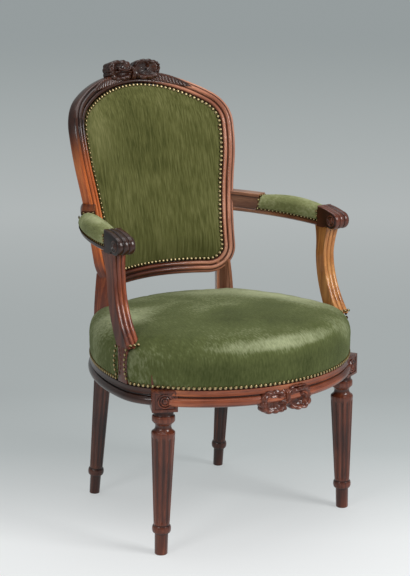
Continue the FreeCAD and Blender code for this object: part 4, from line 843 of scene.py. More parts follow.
def block_profile(width, height):
    """Section of the block behind the pad, with a sunk panel on both sides."""
    half = width / 2
    return both_sides(half - 3, [
        (half, 3, 0.8), (half, 7, 0.8), (half - 1.6, 8.4, 0.0), (half - 1.6, 12, 0.4),
        (half - 1.6, height - 12, 0.4), (half - 1.6, height - 8.4, 0.0), (half, height - 7, 0.8),
        (half, height - 1.5, 0.9), (half - 1.5, height, 0.9)])


def bed_profile(width, height):
    """Section of the bed under the pad."""
    half = width / 2
    return both_sides(half - 4, [(half - 2.4, 0.6, 0.7), (half, 3, 0.9), (half, height - 1, 0.7),
                                 (half - 1, height, 0.5)])


def scroll_outline():
    """(along, height, reed depth) round the side view of the arm's front, from its top at the pad."""
    line = []
    for i in range(13):
        s = PAD_END + (ARM_LENGTH - PAD_END) * i / 12
        line.append((s, arm_high(s), 1.0))
    for i in range(1, 16):
        turn = math.radians(90 - 15 * i)
        line.append((ARM_LENGTH + SCROLL_RADIUS * math.cos(turn), SCROLL_Z + SCROLL_RADIUS * math.sin(turn),
                     1.0 if i < 13 else 0.5))
    line += [(ARM_LENGTH - 17, 579, 0.3), (ARM_LENGTH - 22, 576.6, 0.0), (ARM_LENGTH - 34, 576.4, 0.0),
             (PAD_END, arm_low(PAD_END), 0.0)]
    return line


# the right arm: red-brown at the scroll, rubbed pale at its root
right_arm_walnut = walnut("walnut_right_arm", ("#5a3020", "#8a5a3e", "#b07e5c"), [(1, 0.01, -0.08, BROWN)])


def arm(left):
    """Block, bed and reeded scroll of one arm."""
    shape = new_shape()
    for stops, profile in (([-8 + 7 * i for i in range(12)], block_profile(29, 43)),
                           ([60 + 8 * i for i in range(23)], bed_profile(33, 11))):
        sweep(shape, stops, lambda s: profile, lambda s, across, rise: arm_place(s, across, arm_low(s) + rise))
    outline = scroll_outline()
    slopes = []
    for i, point in enumerate(outline):
        before, after = outline[i - 1], outline[(i + 1) % len(outline)]
        run = Vector((after[0] - before[0], after[1] - before[1])).normalized()
        slopes.append((-run.y, run.x))

    def reeds(index):
        deep = outline[index][2]
        line = []
        for i in range(3):
            for j in range(9 if i < 2 else 10):
                turn = math.pi * j / 9
                line.append((-REED_HALF_WIDTH + 12.333 * (i + (1 - math.cos(turn)) / 2), 2.4 * deep * math.sin(turn),
                             math.sin(turn) if deep > 0.4 else 0.5))
        return line

    def put(index, across, rise):
        s, z, deep = outline[index]
        nx, nz = slopes[index]
        return arm_place(s + nx * (rise - 2.2 * deep), across, z + nz * (rise - 2.2 * deep))

    sweep(shape, list(range(len(outline))) + [0], reeds, put, closed=False)
    bmesh.ops.remove_doubles(shape, verts=shape.verts, dist=0.02)
    bmesh.ops.holes_fill(shape, edges=[edge for edge in shape.edges if edge.is_boundary], sides=0)
    for side in (1, -1):
        eye = turned(shape, [(11.6, 0, 0.2), (11.6, 0.5, 0.9), (10.6, 1.0, 1.0), (9.4, 0.9, 0.8), (8.7, 0.1, 0.0),
                             (7.2, 0.1, 0.0), (6.6, 1.0, 0.9), (5.4, 1.3, 1.0), (4.6, 0.5, 0.0), (4.0, 0.8, 0.6),
                             (2.4, 1.7, 1.0), (0, 2.0, 1.0)], 28)
        turn = Matrix.Rotation(math.radians(90 * side), 4, "Y")
        aim = Matrix.Rotation(math.radians(3), 4, "Z")
        middle = arm_place(ARM_LENGTH, side * REED_HALF_WIDTH, SCROLL_Z)
        bmesh.ops.transform(shape, matrix=Matrix.Translation(middle) @ aim @ turn, verts=eye)
    name = sided("arm", left)
    dress(shape, name + "_reeded", dark_walnut if left else right_arm_walnut, [name], left=left, sharp=40)


for left in (False, True):
    arm(left)


# Arm supports: swept back from the rail to the arm, their fronts worked into three reeds. The foot of
# each is lapped over the rail and shows as a strip between two rows of nails.

def support_lines(z):
    """Front and rear y, middle x and width of the right support at a height."""
    below = max(0.0, min(1.0, (525 - z) / 123))
    above = max(0.0, (z - 525) / 50)
    front = -94 - 50 * below ** 2 - 7 * above ** 2
    rear = -66 - 36 * below ** 2 + 7 * above ** 2
    return front, rear, 253 + 4.5 * above, 28 + 2.5 * max(above, below) ** 2


def support_profile(z):
    """Section of the support with three reeds on its front."""
    front, rear, middle, width = support_lines(z)
    half = width / 2
    points = [(half - 1.5, rear, 0.6), (half, rear - 1.5, 0.7), (half, front + 3, 0.7)]
    for i in range(3):
        for j in range(7 if i < 2 else 8):
            turn = math.pi * j / 7
            across = half - width / 3 * (i + (1 - math.cos(turn)) / 2)
            points.append((across, front + 2.6 - 2.6 * math.sin(turn), 0.1 + 0.9 * math.sin(turn)))
    return points + [(-half, front + 3, 0.7), (-half, rear - 1.5, 0.7), (1.5 - half, rear, 0.6)]


def support_place(z, across, y):
    """A place in the right support."""
    return Vector((support_lines(z)[2] + across, y, z))


# the right support: stain rubbed off down to golden wood
gold_walnut = walnut("walnut_golden_rubbed", ("#774420", "#b0723c", "#d49a5a"), grime_and_shade=0.6)
# the left support: red on its front and inner side, brown outside
left_support_walnut = walnut("walnut_left_support", POST_RED, [(0, -0.250, -0.262, BROWN)])


def support(left):
    """Swept support and its lapped foot."""
    shape = new_shape()
    sweep(shape, [402 + 7.3 * i for i in range(25)], support_profile, support_place)
    squared(shape, (237, -132.5, 331), (265, -101.5, 406), 1.0)
    name = sided("arm_support", left)
    dress(shape, name + "_reeded", left_support_walnut if left else gold_walnut, [name], left=left)


for left in (False, True):
    support(left)


# Seat cushion: velvet stretched over tow and horsehair on webbing, nailed round the rails. It bulges
# over the nails, has a soft edge and a low crown, and is cut in round the posts and arm supports.

# Cotton velvet, cut short and brushed one way: dull face on and pale at a glance, streaked down the
# warp, and rubbed pale and crushed where it is sat on and leaned on. On the seat and pads painted sheen
# lightens such patches too, and painted shade darkens the seat's lower front.
def velvet(name, tones, streak, wear_and_light_patches, mottle=0.75, sheen=0.16, ribbed=0.34):
    """Velvet in (deep, middle, pale) tones; `streak` draws the warp streaks out along z.

    `wear_and_light_patches` lists patches as (place, radii, strength) in metres: those that lighten the pile are
    pile crushed by use, with painted sheen on the seat and pads, and those with a negative strength darken it,
    which on the seat's lower front is painted shade.
    """
    cloth = blank(name)
    where = add(cloth, "TexCoord").outputs["Object"]
    # crushed pile in patches of 30 to 90 mm
    crushed = add(cloth, "TexNoise", {"Vector": where, "Scale": 11.0, "Detail": 4.0, "Roughness": 0.5,
                                      "Distortion": 0.3}).outputs[0]
    # warp streaks 2 to 4 mm apart, drawn out down the cloth
    warp_at = add(cloth, "Mapping", {0: where, "Scale": (1.0, 0.35, streak)}).outputs[0]
    warp = add(cloth, "TexNoise", {"Vector": warp_at, "Scale": 330.0, "Detail": 3.0, "Roughness": 0.6}).outputs[0]
    tone = add(cloth, "Math", {0: warp, 1: ribbed, 2: 0.5 - ribbed / 2}, operation="MULTIPLY_ADD").outputs[0]
    tone = add(cloth, "Math", {0: crushed, 1: mottle, 2: tone}, operation="MULTIPLY_ADD").outputs[0]
    tone = add(cloth, "Math", {0: tone, 1: 0.2 - mottle * 0.5}, operation="ADD").outputs[0]
    # a positive strength lifts the tone as crushed pile, with painted sheen on the seat and pads; a negative one
    # lowers it, which on the seat's lower front is painted shade
    for place, radii, strength in wear_and_light_patches:
        near = add(cloth, "VectorMath", {0: where, 1: place}, operation="SUBTRACT").outputs[0]
        near = add(cloth, "VectorMath", {0: near, 1: radii}, operation="DIVIDE").outputs[0]
        near = add(cloth, "VectorMath", {0: near}, operation="LENGTH").outputs["Value"]
        near = add(cloth, "MapRange", {0: near, 1: 0.25, 2: 1.0, 3: strength, 4: 0.0},
                   interpolation_type="SMOOTHSTEP").outputs[0]
        tone = add(cloth, "Math", {0: tone, 1: near}, operation="ADD").outputs[0]
    colour = add(cloth, "ValToRGB", {0: tone}, list(zip((0.50, 0.70, 1.0), tones))).outputs[0]
    # pile tufts about 0.7 mm apart
    tufts = add(cloth, "TexNoise", {"Vector": where, "Scale": 1400.0, "Detail": 2.0}).outputs[0]
    height = add(cloth, "Math", {0: crushed, 1: 3.0, 2: tufts}, operation="MULTIPLY_ADD").outputs[0]
    bump = add(cloth, "Bump", {"Strength": 0.5, "Distance": 0.0009, "Height": height}).outputs[0]
    shader = add(cloth, "BsdfPrincipled", {"Base Color": colour, "Roughness": 0.92, "Normal": bump,
                                           "Specular IOR Level": 0.15, "Sheen Weight": sheen,
                                           "Sheen Roughness": 0.42, "Sheen Tint": srgb("#c9d3ae")})
    surface(cloth, shader)
    return cloth


# the seat's velvet: crushed pale at the right and back and along the front edge, with painted sheen on
# these patches, deep in the hollow, and darkened along its lower front by painted shade
seat_velvet = velvet("green_velvet_seat", ("#3a4120", "#585f37", "#b0b68f"), 0.25, [
    ((0.13, 0.07, 0.43), (0.20, 0.14, 0.10), 0.16), ((0.24, 0.02, 0.42), (0.15, 0.22, 0.10), 0.30),
    ((-0.19, 0.02, 0.42), (0.10, 0.10, 0.08), 0.16), ((0.0, -0.27, 0.408), (0.34, 0.07, 0.014), 0.15),
    ((0.02, -0.14, 0.43), (0.16, 0.10, 0.05), -0.10), ((0.0, -0.29, 0.36), (0.5, 0.16, 0.045), -0.10)],
    mottle=0.34)
# the back's velvet: ribbed and even, a little pale where a head and shoulder lean
back_velvet = velvet("green_velvet_back", ("#41431f", "#5a5b31", "#7b7a4e"), 0.05, [
    ((-0.14, 0.2, 0.80), (0.05, 0.2, 0.10), 0.14), ((0.0, 0.2, 0.87), (0.16, 0.2, 0.03), 0.12),
    ((-0.02, 0.2, 0.76), (0.09, 0.2, 0.12), -0.08)], mottle=0.25, ribbed=0.8)
# the pads' velvet: the palest, its pile worn by hands, with painted sheen along the tops of the pads
pad_velvet = velvet("green_velvet_arm_pads", ("#52572f", "#7d8153", "#bcbf95"), 0.6, [
    ((0.255, 0.02, 0.64), (0.03, 0.09, 0.03), 0.16), ((-0.255, 0.02, 0.64), (0.03, 0.09, 0.03), 0.2)],
    sheen=0.35)


def through(points, count):
    """Smooth curve through tuples of numbers, `count` steps between neighbours."""
    line = []
    ends = [points[0]] + list(points) + [points[-1]]
    for i in range(1, len(ends) - 2):
        a, b, c, d = ends[i - 1], ends[i], ends[i + 1], ends[i + 2]
        for j in range(count):
            t = j / count
            line.append(tuple(0.5 * (2 * q + (r - p) * t + (2 * p - 5 * q + 4 * r - s) * t * t
                                     + (3 * q - p - 3 * r + s) * t ** 3) for p, q, r, s in zip(a, b, c, d)))
    return line + [tuple(points[-1])]


def stuffed(shape, rings, middles):
    """Closed cushion through rings of points, each end closed to a middle point."""
    loop = [shape.verts.new(point) for point in rings[0]]
    number = shape.verts.layers.int["number"]
    for i, vert in enumerate(loop):
        vert[number] = i
    edges = [shape.edges.new(pair) for pair in zip(loop, loop[1:] + loop[:1])]
    first = edges
    for ring in rings[1:]:
        out = bmesh.ops.extrude_edge_only(shape, edges=edges)["geom"]
        edges = [item for item in out if isinstance(item, bmesh.types.BMEdge)]
        for vert in (item for item in out if isinstance(item, bmesh.types.BMVert)):
            vert.co = ring[vert[number]]
    for ends, middle in ((first, middles[0]), (edges, middles[1])):
        out = bmesh.ops.extrude_edge_only(shape, edges=ends)["geom"]
        for vert in (item for item in out if isinstance(item, bmesh.types.BMVert)):
            vert.co = middle
    bmesh.ops.remove_doubles(shape, verts=shape.verts, dist=0.01)


CLOTH_FRAMES = 20


def simulate(piece, voxel, pressure, cap, hold):
    """Blows the piece up as cloth under pressure; a point moves at most `cap` times `hold(point)`."""
    remesh = piece.modifiers.new("even_mesh", "REMESH")
    remesh.mode = "VOXEL"
    remesh.voxel_size = voxel
    bake(piece)
    start = [vert.co.copy() for vert in piece.data.vertices]
    cloth = piece.modifiers.new("cloth", "CLOTH")
    for setting, value in (("quality", 5), ("mass", 0.3), ("tension_stiffness", 15), ("compression_stiffness", 15),
                           ("bending_stiffness", 0.5), ("use_pressure", True), ("uniform_pressure_force", pressure)):
        setattr(cloth.settings, setting, value)
    cloth.settings.effector_weights.gravity = 0.0
    cloth.collision_settings.use_collision = False
    cloth.point_cache.frame_start = 1
    cloth.point_cache.frame_end = CLOTH_FRAMES
    for step in range(1, CLOTH_FRAMES + 1):
        bpy.context.scene.frame_set(step)
    bake(piece)
    bpy.context.scene.frame_set(1)
    for vert, before in zip(piece.data.vertices, start):
        moved = vert.co - before
        most = cap * hold(before)
        if moved.length > most:
            moved *= most / moved.length
        vert.co = before + moved


def bake(piece):
    """Applies all modifiers of a piece to its mesh."""
    graph = bpy.context.evaluated_depsgraph_get()
    made = bpy.data.meshes.new_from_object(piece.evaluated_get(graph), preserve_all_data_layers=True,
                                           depsgraph=graph)
    old = piece.data
    piece.modifiers.clear()
    piece.data = made
    made.name = piece.name
    bpy.data.meshes.remove(old)


def cut_away(piece, cutter):
    """Takes a closed cutter's room out of a piece and removes the cutter."""
    cut = piece.modifiers.new("cut", "BOOLEAN")
    cut.operation = "DIFFERENCE"
    cut.solver = "EXACT"
    cut.object = cutter
    bake(piece)
    bpy.data.objects.remove(cutter)


def plain_object(shape, name):
    """A working object from a shape in millimetres, before it is dressed."""
    bmesh.ops.scale(shape, vec=(0.001, 0.001, 0.001), verts=shape.verts)
    bmesh.ops.translate(shape, vec=(0, SHIFT_Y, 0), verts=shape.verts)
    bmesh.ops.recalc_face_normals(shape, faces=shape.faces)
    data = bpy.data.meshes.new(name)
    shape.to_mesh(data)
    shape.free()
    piece = bpy.data.objects.new(name, data)
    bpy.context.scene.collection.objects.link(piece)
    return piece


def soften(piece, material, nodes):
    """Gives a soft piece its material and smooth shading, and puts it in place of its solids."""
    piece.data.materials.clear()
    piece.data.materials.append(material)
    for polygon in piece.data.polygons:
        polygon.use_smooth = True
    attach(piece, "root")
    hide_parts(*nodes)


SEAT_MIDDLE_Y = -52.5
# the plan goes on round the back in an arc of the same radius
seat_half = seat_plan(3.0) + [((0, -105), FRONT_RADIUS, 62 + 2 * i) for i in range(15)]
# (height, outward of the rails' face, shrunk towards the middle) from the lower edge up to the crown
seat_levels = through([(331.0, -1.5, 1.0), (338.0, 1.2, 1.0), (352.0, 5.2, 1.0), (372.0, 7.4, 1.0),
                       (392.0, 3.6, 1.0), (405.0, -7.0, 1.0), (413.5, -22.0, 1.0), (419.5, -23.5, 0.86),
                       (425.0, -24.0, 0.66), (430.0, -24.0, 0.42), (432.5, -24.0, 0.2)], 3)


def seat_middle(z):
    """The middle of the seat at a height."""
    return Vector((0, SEAT_MIDDLE_Y, z))


def seat_ring(z, offset, shrink):
    """Ring of points round the seat at a height, outward of its plan."""
    right = [plan_point(stop, offset) for stop in seat_half]
    right = [(x * shrink, SEAT_MIDDLE_Y + (y - SEAT_MIDDLE_Y) * shrink) for x, y in right]
    return [Vector((x, y, z)) for x, y in right] + [Vector((-x, y, z)) for x, y in reversed(right[1:-1])]


seat_shape = new_shape()
stuffed(seat_shape, [seat_ring(*level) for level in seat_levels], (seat_middle(331), seat_middle(433)))
seat_cushion = plain_object(seat_shape, "seat_cushion_velvet")


def seat_hold(point):
    """Nailed along its lower edge, free above it."""
    return min(1.0, max(0.0, (point.z - 0.334) / 0.03))


simulate(seat_cushion, 0.005, 4.0, 0.006, seat_hold)
for side in (1, -1):
    notches = [new_shape(), new_shape(), new_shape()]
    sweep(notches[0], [404 + 8 * i for i in range(9)], support_profile, support_place)
    squared(notches[1], (236.6, -132.9, 320), (290, -101.1, 406.4), 0.5)
    sweep(notches[2], [320, 360, 400, 440, 470], post_profile, post_place)
    for notch in notches:
        bmesh.ops.scale(notch, vec=(side, 1, 1), verts=notch.verts)
        cut_away(seat_cushion, plain_object(notch, "notch"))
soften(seat_cushion, seat_velvet, ["seat_cover", "seat_stuffing"])


# Inside back: velvet over horsehair, nailed in the rebate along the moulding, gently crowned. Its
# edge turns down beside the first bead.

BACK_MIDDLE_Z = 675


def sight_inner(inset, deep, shrink=1.0):
    """Ring inside the nailed edge and behind the show face, shrunk towards the middle of the back."""
    ring = []
    for index in range(SIGHT_COUNT):
        xa, za = sight_line[index - 1]
        xb, zb = sight_line[(index + 1) % SIGHT_COUNT]
        run = math.hypot(xb - xa, zb - za)
        x, z = sight_line[index]
        x, z = x + (zb - za) / run * inset, z - (xb - xa) / run * inset
        ring.append(face_of_back(x * shrink, BACK_MIDDLE_Z + (z - BACK_MIDDLE_Z) * shrink, deep))
    return ring


back_levels = through([(0.6, 7.2, 1.0), (0.5, 4.2, 1.0), (1.6, 2.2, 1.0), (6.0, 0.4, 1.0), (8, -3.2, 0.95),
                       (8, -7.5, 0.84), (8, -10.2, 0.66), (8, -11.8, 0.4), (8, -12.4, 0.15)], 3)
back_shape = new_shape()
stuffed(back_shape, [sight_inner(*level) for level in back_levels],
        (face_of_back(0, BACK_MIDDLE_Z, 7.2), face_of_back(0, BACK_MIDDLE_Z, -12.5)))
back_cushion = plain_object(back_shape, "inside_back_velvet")


def back_hold(point):
    """Nailed all round."""
    x, z = point.x * 1000, point.z * 1000
    near = min(math.hypot(x - a, z - b) for a, b in sight_line[::4])
    return min(1.0, max(0.0, (near - 9) / 40))


simulate(back_cushion, 0.005, 3.0, 0.005, back_hold)
soften(back_cushion, back_velvet, ["inside_back_cover", "back_stuffing"])


# Arm pads: velvet over a roll of horsehair on the arm's bed, nailed along both lower edges and both
# ends. Each swells a little in the middle and is rounded off at its ends.

def pad_ring(s):
    """Ring round the pad at a place along the arm."""
    share = min(1.0, max(0.0, (s - PAD_START) / (PAD_END - PAD_START)))
    swell = math.sin(math.pi * share)
    ends = min(1.0, min(s - PAD_START, PAD_END - s) / 10 + 0.75)
    half, high = (20.5 + 2 * swell) * ends, (29 + 8 * swell) * ends
    line = through([(16.0, 0.3), (half, high * 0.28), (half - 1.5, high * 0.58), (half - 8, high * 0.87),
                    (0.0, high)], 4)
    both = line + [(-a, b) for a, b in reversed(line[:-1])]
    return [arm_place(s, a, arm_low(s) + 11.2 + b) for a, b in both]


for left in (False, True):
    pad_shape = new_shape()
    stops = [68.4, 69.5, 72, 76] + [80 + 6 * i for i in range(25)] + [228, 232, 234.5, 235.6]
    stuffed(pad_shape, [pad_ring(s) for s in stops],
            [arm_place(s, 0, arm_low(s) + 24) for s in (stops[0], stops[-1])])
    if left:
        bmesh.ops.scale(pad_shape, vec=(-1, 1, 1), verts=pad_shape.verts)
    pad = plain_object(pad_shape, sided("arm_pad_velvet", left))
    simulate(pad, 0.004, 3.0, 0.0025, lambda point: min(1.0, max(0.0, (point.z - 0.598) / 0.012)))
    soften(pad, pad_velvet, [sided("arm_pad_cover", left), sided("arm_pad_stuffing", left)])


# Upholstery nails: domed brass heads 8 mm across, driven almost touching through the velvet into the
# rails, the rebate of the back, the arms and the supports.

# brass, stamped and lacquered, its colour painted bright on the tops of the heads as highlight and dark at their
# rims as shade
brass = blank("brass_with_painted_light")
highlight_and_rim_shade = add(brass, "Attribute", attribute_name="wear_and_shading").outputs["Fac"]
brass_colour = add(brass, "ValToRGB", {0: highlight_and_rim_shade}, [(0.0, "#1d150a"), (0.5, "#5a4722"), (1.0, "#ad9c74")])
surface(brass, add(brass, "BsdfPrincipled", {"Base Color": brass_colour.outputs[0], "Metallic": 1.0,
                                             "Roughness": 0.34}))
NAIL_SIDES = 9


def nail_row(shape, line, radius, rise):
    """Domed heads at (point, normal) places."""
    wear_and_shading = shape.verts.layers.float["wear_and_shading"]
    # the last number of each ring places it on the painted light, from shade at the rim to a highlight on top
    levels = ((radius, -0.6, 0.0), (radius, 0.2, 0.15), (radius * 0.8, rise * 0.62, 0.6),
              (radius * 0.42, rise * 0.93, 1.0))
    for point, normal in line:
        turn = normal.to_track_quat("Z", "Y").to_matrix().to_4x4()
        rings = []
        for ring_radius, height, worn_and_shaded in levels:
            ring = []
            for i in range(NAIL_SIDES):
                angle = math.tau * i / NAIL_SIDES
                spot = Vector((ring_radius * math.cos(angle), ring_radius * math.sin(angle), height))
                ring.append(shape.verts.new(turn @ spot + point))
                ring[-1][wear_and_shading] = worn_and_shaded
            rings.append(ring)
        top = shape.verts.new(turn @ Vector((0, 0, rise)) + point)
        top[wear_and_shading] = 1.0
        for low, high in zip(rings, rings[1:]):
            for i in range(NAIL_SIDES):
                shape.faces.new((low[i], low[i - NAIL_SIDES + 1], high[i - NAIL_SIDES + 1], high[i]))
        for i in range(NAIL_SIDES):
            shape.faces.new((rings[-1][i], rings[-1][i - NAIL_SIDES + 1], top))


def spaced(points, gap):
    """Places at even steps of about `gap` along a line of points, with the direction there."""
    lengths = [0.0]
    for a, b in zip(points, points[1:]):
        lengths.append(lengths[-1] + (b - a).length)
    count = max(1, round(lengths[-1] / gap))
    out = []
    k = 0
    for i in range(count + 1):
        want = lengths[-1] * i / count
        while k < len(points) - 2 and lengths[k + 1] < want:
            k += 1
        share = (want - lengths[k]) / (lengths[k + 1] - lengths[k])
        out.append((points[k].lerp(points[k + 1], share), (points[k + 1] - points[k]).normalized()))
    return out


def dress_nails(places, name, left=False, size=(3.9, 2.5)):
    """Makes the nails at (point, normal) places one piece."""
    shape = new_shape()
    nail_row(shape, places, *size)
    dress(shape, name, brass, left=left, sharp=60)


SMALL_NAIL = (3.7, 2.3)
UP = Vector((0, 0, 1))

# round the seat's lower edge, except where the feet of the supports lie
seat_line = [Vector((x, y, 334.6)) for x, y, _ in seat_ring(0, 0.4, 1.0)]
places = [(point, along.cross(UP)) for point, along in spaced(seat_line + seat_line[:1], 9.8)[:-1]]
dress_nails([(p, n) for p, n in places if not (abs(abs(p.x) - SEAT_HALF_WIDTH) < 8 and -133 < p.y < -101)],
            "seat_nails")

# round the inside back, in the rebate
back_line = [off_sight(i, -3.9, 0.6) for i in range(SIGHT_COUNT)]
dress_nails([(point, -rearward(point.x)) for point, _ in spaced(back_line + back_line[:1], 9.6)[:-1]],
            "inside_back_nails")

# along both edges of each pad, up its ends and over them
for left in (False, True):
    places = []
    for side in (-1, 1):
        edge = [arm_place(s, side * 18.3, arm_low(s) + 12.6) for s in range(68, 237, 4)]
        places += [(point, along.cross(UP) * side) for point, along in spaced(edge, 9.4)]
        for s in (70.5, 233.5):
            edge = [arm_place(s, side * 17.5, arm_low(s) + 21), arm_place(s, side * 18.0, arm_low(s) + 31)]
            outward = arm_place(s, side, 0) - arm_place(s, 0, 0)
            places += [(point, outward) for point, _ in spaced(edge, 9.4)]
    places += [(arm_place(s, across, arm_low(s) + 38.6), UP) for s in (70.2, 233.8) for across in (-9.5, 0, 9.5)]
    dress_nails(places, sided("arm_pad_nails", left), left, SMALL_NAIL)

    # beside the foot of each support, and round it on top of the seat
    places = []
    for y in (-135.6, -98.4):
        for z in (344 + 9.2 * i for i in range(7)):
            out = SEAT_HALF_WIDTH + 8.0 * math.sin(math.pi * min(1.0, (z - 331) / 80)) - 0.6
            places.append((Vector((out, y, z)), Vector((1, 0, 0))))
    for x in (238 + 8.6 * i for i in range(4)):
        places.append((Vector((x, -147.0, 408.5)), Vector((0, -0.45, 0.9)).normalized()))
        places.append((Vector((x, -97.0, 413.0)), Vector((0, 0.3, 0.95)).normalized()))
    dress_nails(places, sided("arm_support_nails", left), left, SMALL_NAIL)


# Outside back: a plain velvet panel stretched over the rear of the frame, its edge turned under and
# nailed 18 mm inside the frame's rear edge.

def thin_cloth(name, rings, middles, material, node, cutters=()):
    """A sheet of cloth through closed rings, front edge to rear edge."""
    shape = new_shape()
    stuffed(shape, rings, middles)
    cloth = plain_object(shape, name)
    for cutter in cutters:
        cut_away(cloth, cutter)
    soften(cloth, material, [node])


# (inside the nailed edge, behind the show face, shrunk) over the front, round the edge, over the rear
outside_levels = [(6.0, 28.8, 0.15), (6.0, 28.8, 0.4), (6.0, 28.8, 0.7), (-6.0, 28.7, 1.0), (-11.5, 28.7, 1.0),
                  (-11.8, 29.6, 1.0), (-11.0, 30.4, 1.0), (-6.0, 30.5, 1.0), (6.0, 30.3, 1.0), (6.0, 30.2, 0.7),
                  (6.0, 30.2, 0.4), (6.0, 30.2, 0.15)]
# the outside back's velvet: unworn and even
plain_velvet = velvet("green_velvet_outside_back", ("#41431f", "#5f6136", "#7b7a4e"), 0.05, [], mottle=0.2)
thin_cloth("outside_back_velvet", [sight_inner(*level) for level in outside_levels],
           [face_of_back(0, BACK_MIDDLE_Z, deep) for deep in (28.8, 30.2)], plain_velvet, "outside_back_cover")

outside_line = [off_sight(i, 8.0, 30.6) for i in range(SIGHT_COUNT)]
dress_nails([(point, rearward(point.x)) for point, _ in spaced(outside_line + outside_line[:1], 19.0)[:-1]],
            "outside_back_nails")


# Under the seat: black cotton cloth tacked to the rails' underside keeps the dust in. It is cut round
# the legs and posts and lies flat.

# Woven cloth: dull threads over and under each other, a little uneven in thickness and colour.
def woven(name, tones, gap):
    """Plain weave of threads `gap` mm apart, drawn two or three times coarser so that it shows."""
    cloth = blank(name)
    where = add(cloth, "VectorMath", {0: add(cloth, "TexCoord").outputs["Object"], 1: (1000, 1000, 1000)},
                operation="MULTIPLY").outputs[0]
    parts = add(cloth, "SeparateXYZ", {0: where}).outputs
    length = add(cloth, "Math", {0: parts[1], 1: parts[2]}, operation="ADD").outputs[0]
    waves = []
    for thread in (parts[0], length):
        wave = add(cloth, "Math", {0: thread, 1: math.pi / gap}, operation="MULTIPLY").outputs[0]
        waves.append(add(cloth, "Math", {0: wave}, operation="SINE").outputs[0])
    weave = add(cloth, "Math", {0: waves[0], 1: waves[1]}, operation="MULTIPLY").outputs[0]
    slub = add(cloth, "TexNoise", {"Vector": where, "Scale": 0.12, "Detail": 5.0}).outputs[0]
    tone = add(cloth, "Math", {0: weave, 1: 0.12, 2: slub}, operation="MULTIPLY_ADD").outputs[0]
    colour = add(cloth, "ValToRGB", {0: tone}, list(zip((0.35, 0.5, 0.68), tones))).outputs[0]
    bump = add(cloth, "Bump", {"Strength": 0.4, "Distance": 0.0004, "Height": weave}).outputs[0]
    surface(cloth, add(cloth, "BsdfPrincipled", {"Base Color": colour, "Roughness": 0.9, "Normal": bump,
                                                 "Specular IOR Level": 0.1}))
    return cloth


def corners(low, high):
    """Working objects in the room that both front blocks and both posts take between two heights."""
    made = []
    for side in (1, -1):
        for near, far, turn, place in (((-24.2, -24, low), (24.2, 23, high), BLOCK_TURN, (LEG_X, LEG_Y, 0)),
                                       ((-19.8, -18, low), (19.8, 18, high), POST_TURN, (POST_X, POST_Y, 0))):
            corner = new_shape()
            squared(corner, near, far, 0.4)
            bmesh.ops.rotate(corner, cent=(0, 0, 0), matrix=Matrix.Rotation(math.radians(turn), 3, "Z"),
                             verts=corner.verts)
            bmesh.ops.translate(corner, vec=place, verts=corner.verts)
            bmesh.ops.scale(corner, vec=(side, 1, 1), verts=corner.verts)
            made.append(plain_object(corner, "corner"))
    return made


# cotton, dyed black and faded to a dusty dark grey
black_cloth = woven("cotton_black_cloth", ("#0d0d0d", "#1b1b1a", "#2c2b29"), 1.2)
bottom_rings = [seat_ring(296.2, -9.0, 0.1), seat_ring(296.2, -9.0, 0.5), seat_ring(296.2, -9.0, 1.0),
                seat_ring(296.4, -8.4, 1.0), seat_ring(296.9, -8.8, 1.0), seat_ring(296.9, -9.0, 0.5),
                seat_ring(296.9, -9.0, 0.1)]
thin_cloth("seat_bottom_cloth_black", bottom_rings, (seat_middle(296.2), seat_middle(296.9)), black_cloth,
           "seat_bottom_cloth", corners(290, 303))


# Webbing and hessian: jute straps 60 mm wide, interlaced and stretched over the rails, with hessian
# tacked over them to hold the stuffing. The covers hide them.

STRAP_HALF = 30
# jute, twisted thick and woven close: dull ochre brown
jute = woven("jute_webbing", ("#6b4c2a", "#96703f", "#b8935c"), 2.4)
# hessian, the same fibre spun thinner: paler and open
hessian = woven("hessian", ("#7a5d38", "#a4824f", "#c2a374"), 1.6)


def straps(name, node, strips):
    """Interlaced straps; each is (points along it, the directions across it)."""
    shape = new_shape()
    half, eased = STRAP_HALF, STRAP_HALF - 0.4
    edge = [(-half, 0.5, 0.5), (-eased, 0.0, 0.5), (eased, 0.0, 0.5), (half, 0.5, 0.5), (eased, 1.0, 0.5),
            (-eased, 1.0, 0.5)]
    for points, across in strips:
        def place(i, side, rise):
            run = (points[min(i + 1, len(points) - 1)] - points[max(i - 1, 0)]).normalized()
            return points[i] + across[i] * side + across[i].cross(run).normalized() * rise

        sweep(shape, list(range(len(points))), lambda i: edge, place)
    piece = dress(shape, name, jute, [node])


plan_ring = seat_ring(0, -10.0, 1.0)


def inside_plan(axis, place):
    """Lowest and highest y (or x) inside the seat at an x (or y)."""
    found = []
    for a, b in zip(plan_ring, plan_ring[1:] + plan_ring[:1]):
        if (a[axis] - place) * (b[axis] - place) <= 0 and a[axis] != b[axis]:
            share = (place - a[axis]) / (b[axis] - a[axis])
            found.append(a[1 - axis] + (b[1 - axis] - a[1 - axis]) * share)
    return min(found), max(found)


def within_plan(axis, place):
    """The length that a whole strap has inside the seat at an x (or y)."""
    ends = [inside_plan(axis, place + edge) for edge in (1 - STRAP_HALF, STRAP_HALF - 1)]
    return max(low for low, _ in ends), min(high for _, high in ends)


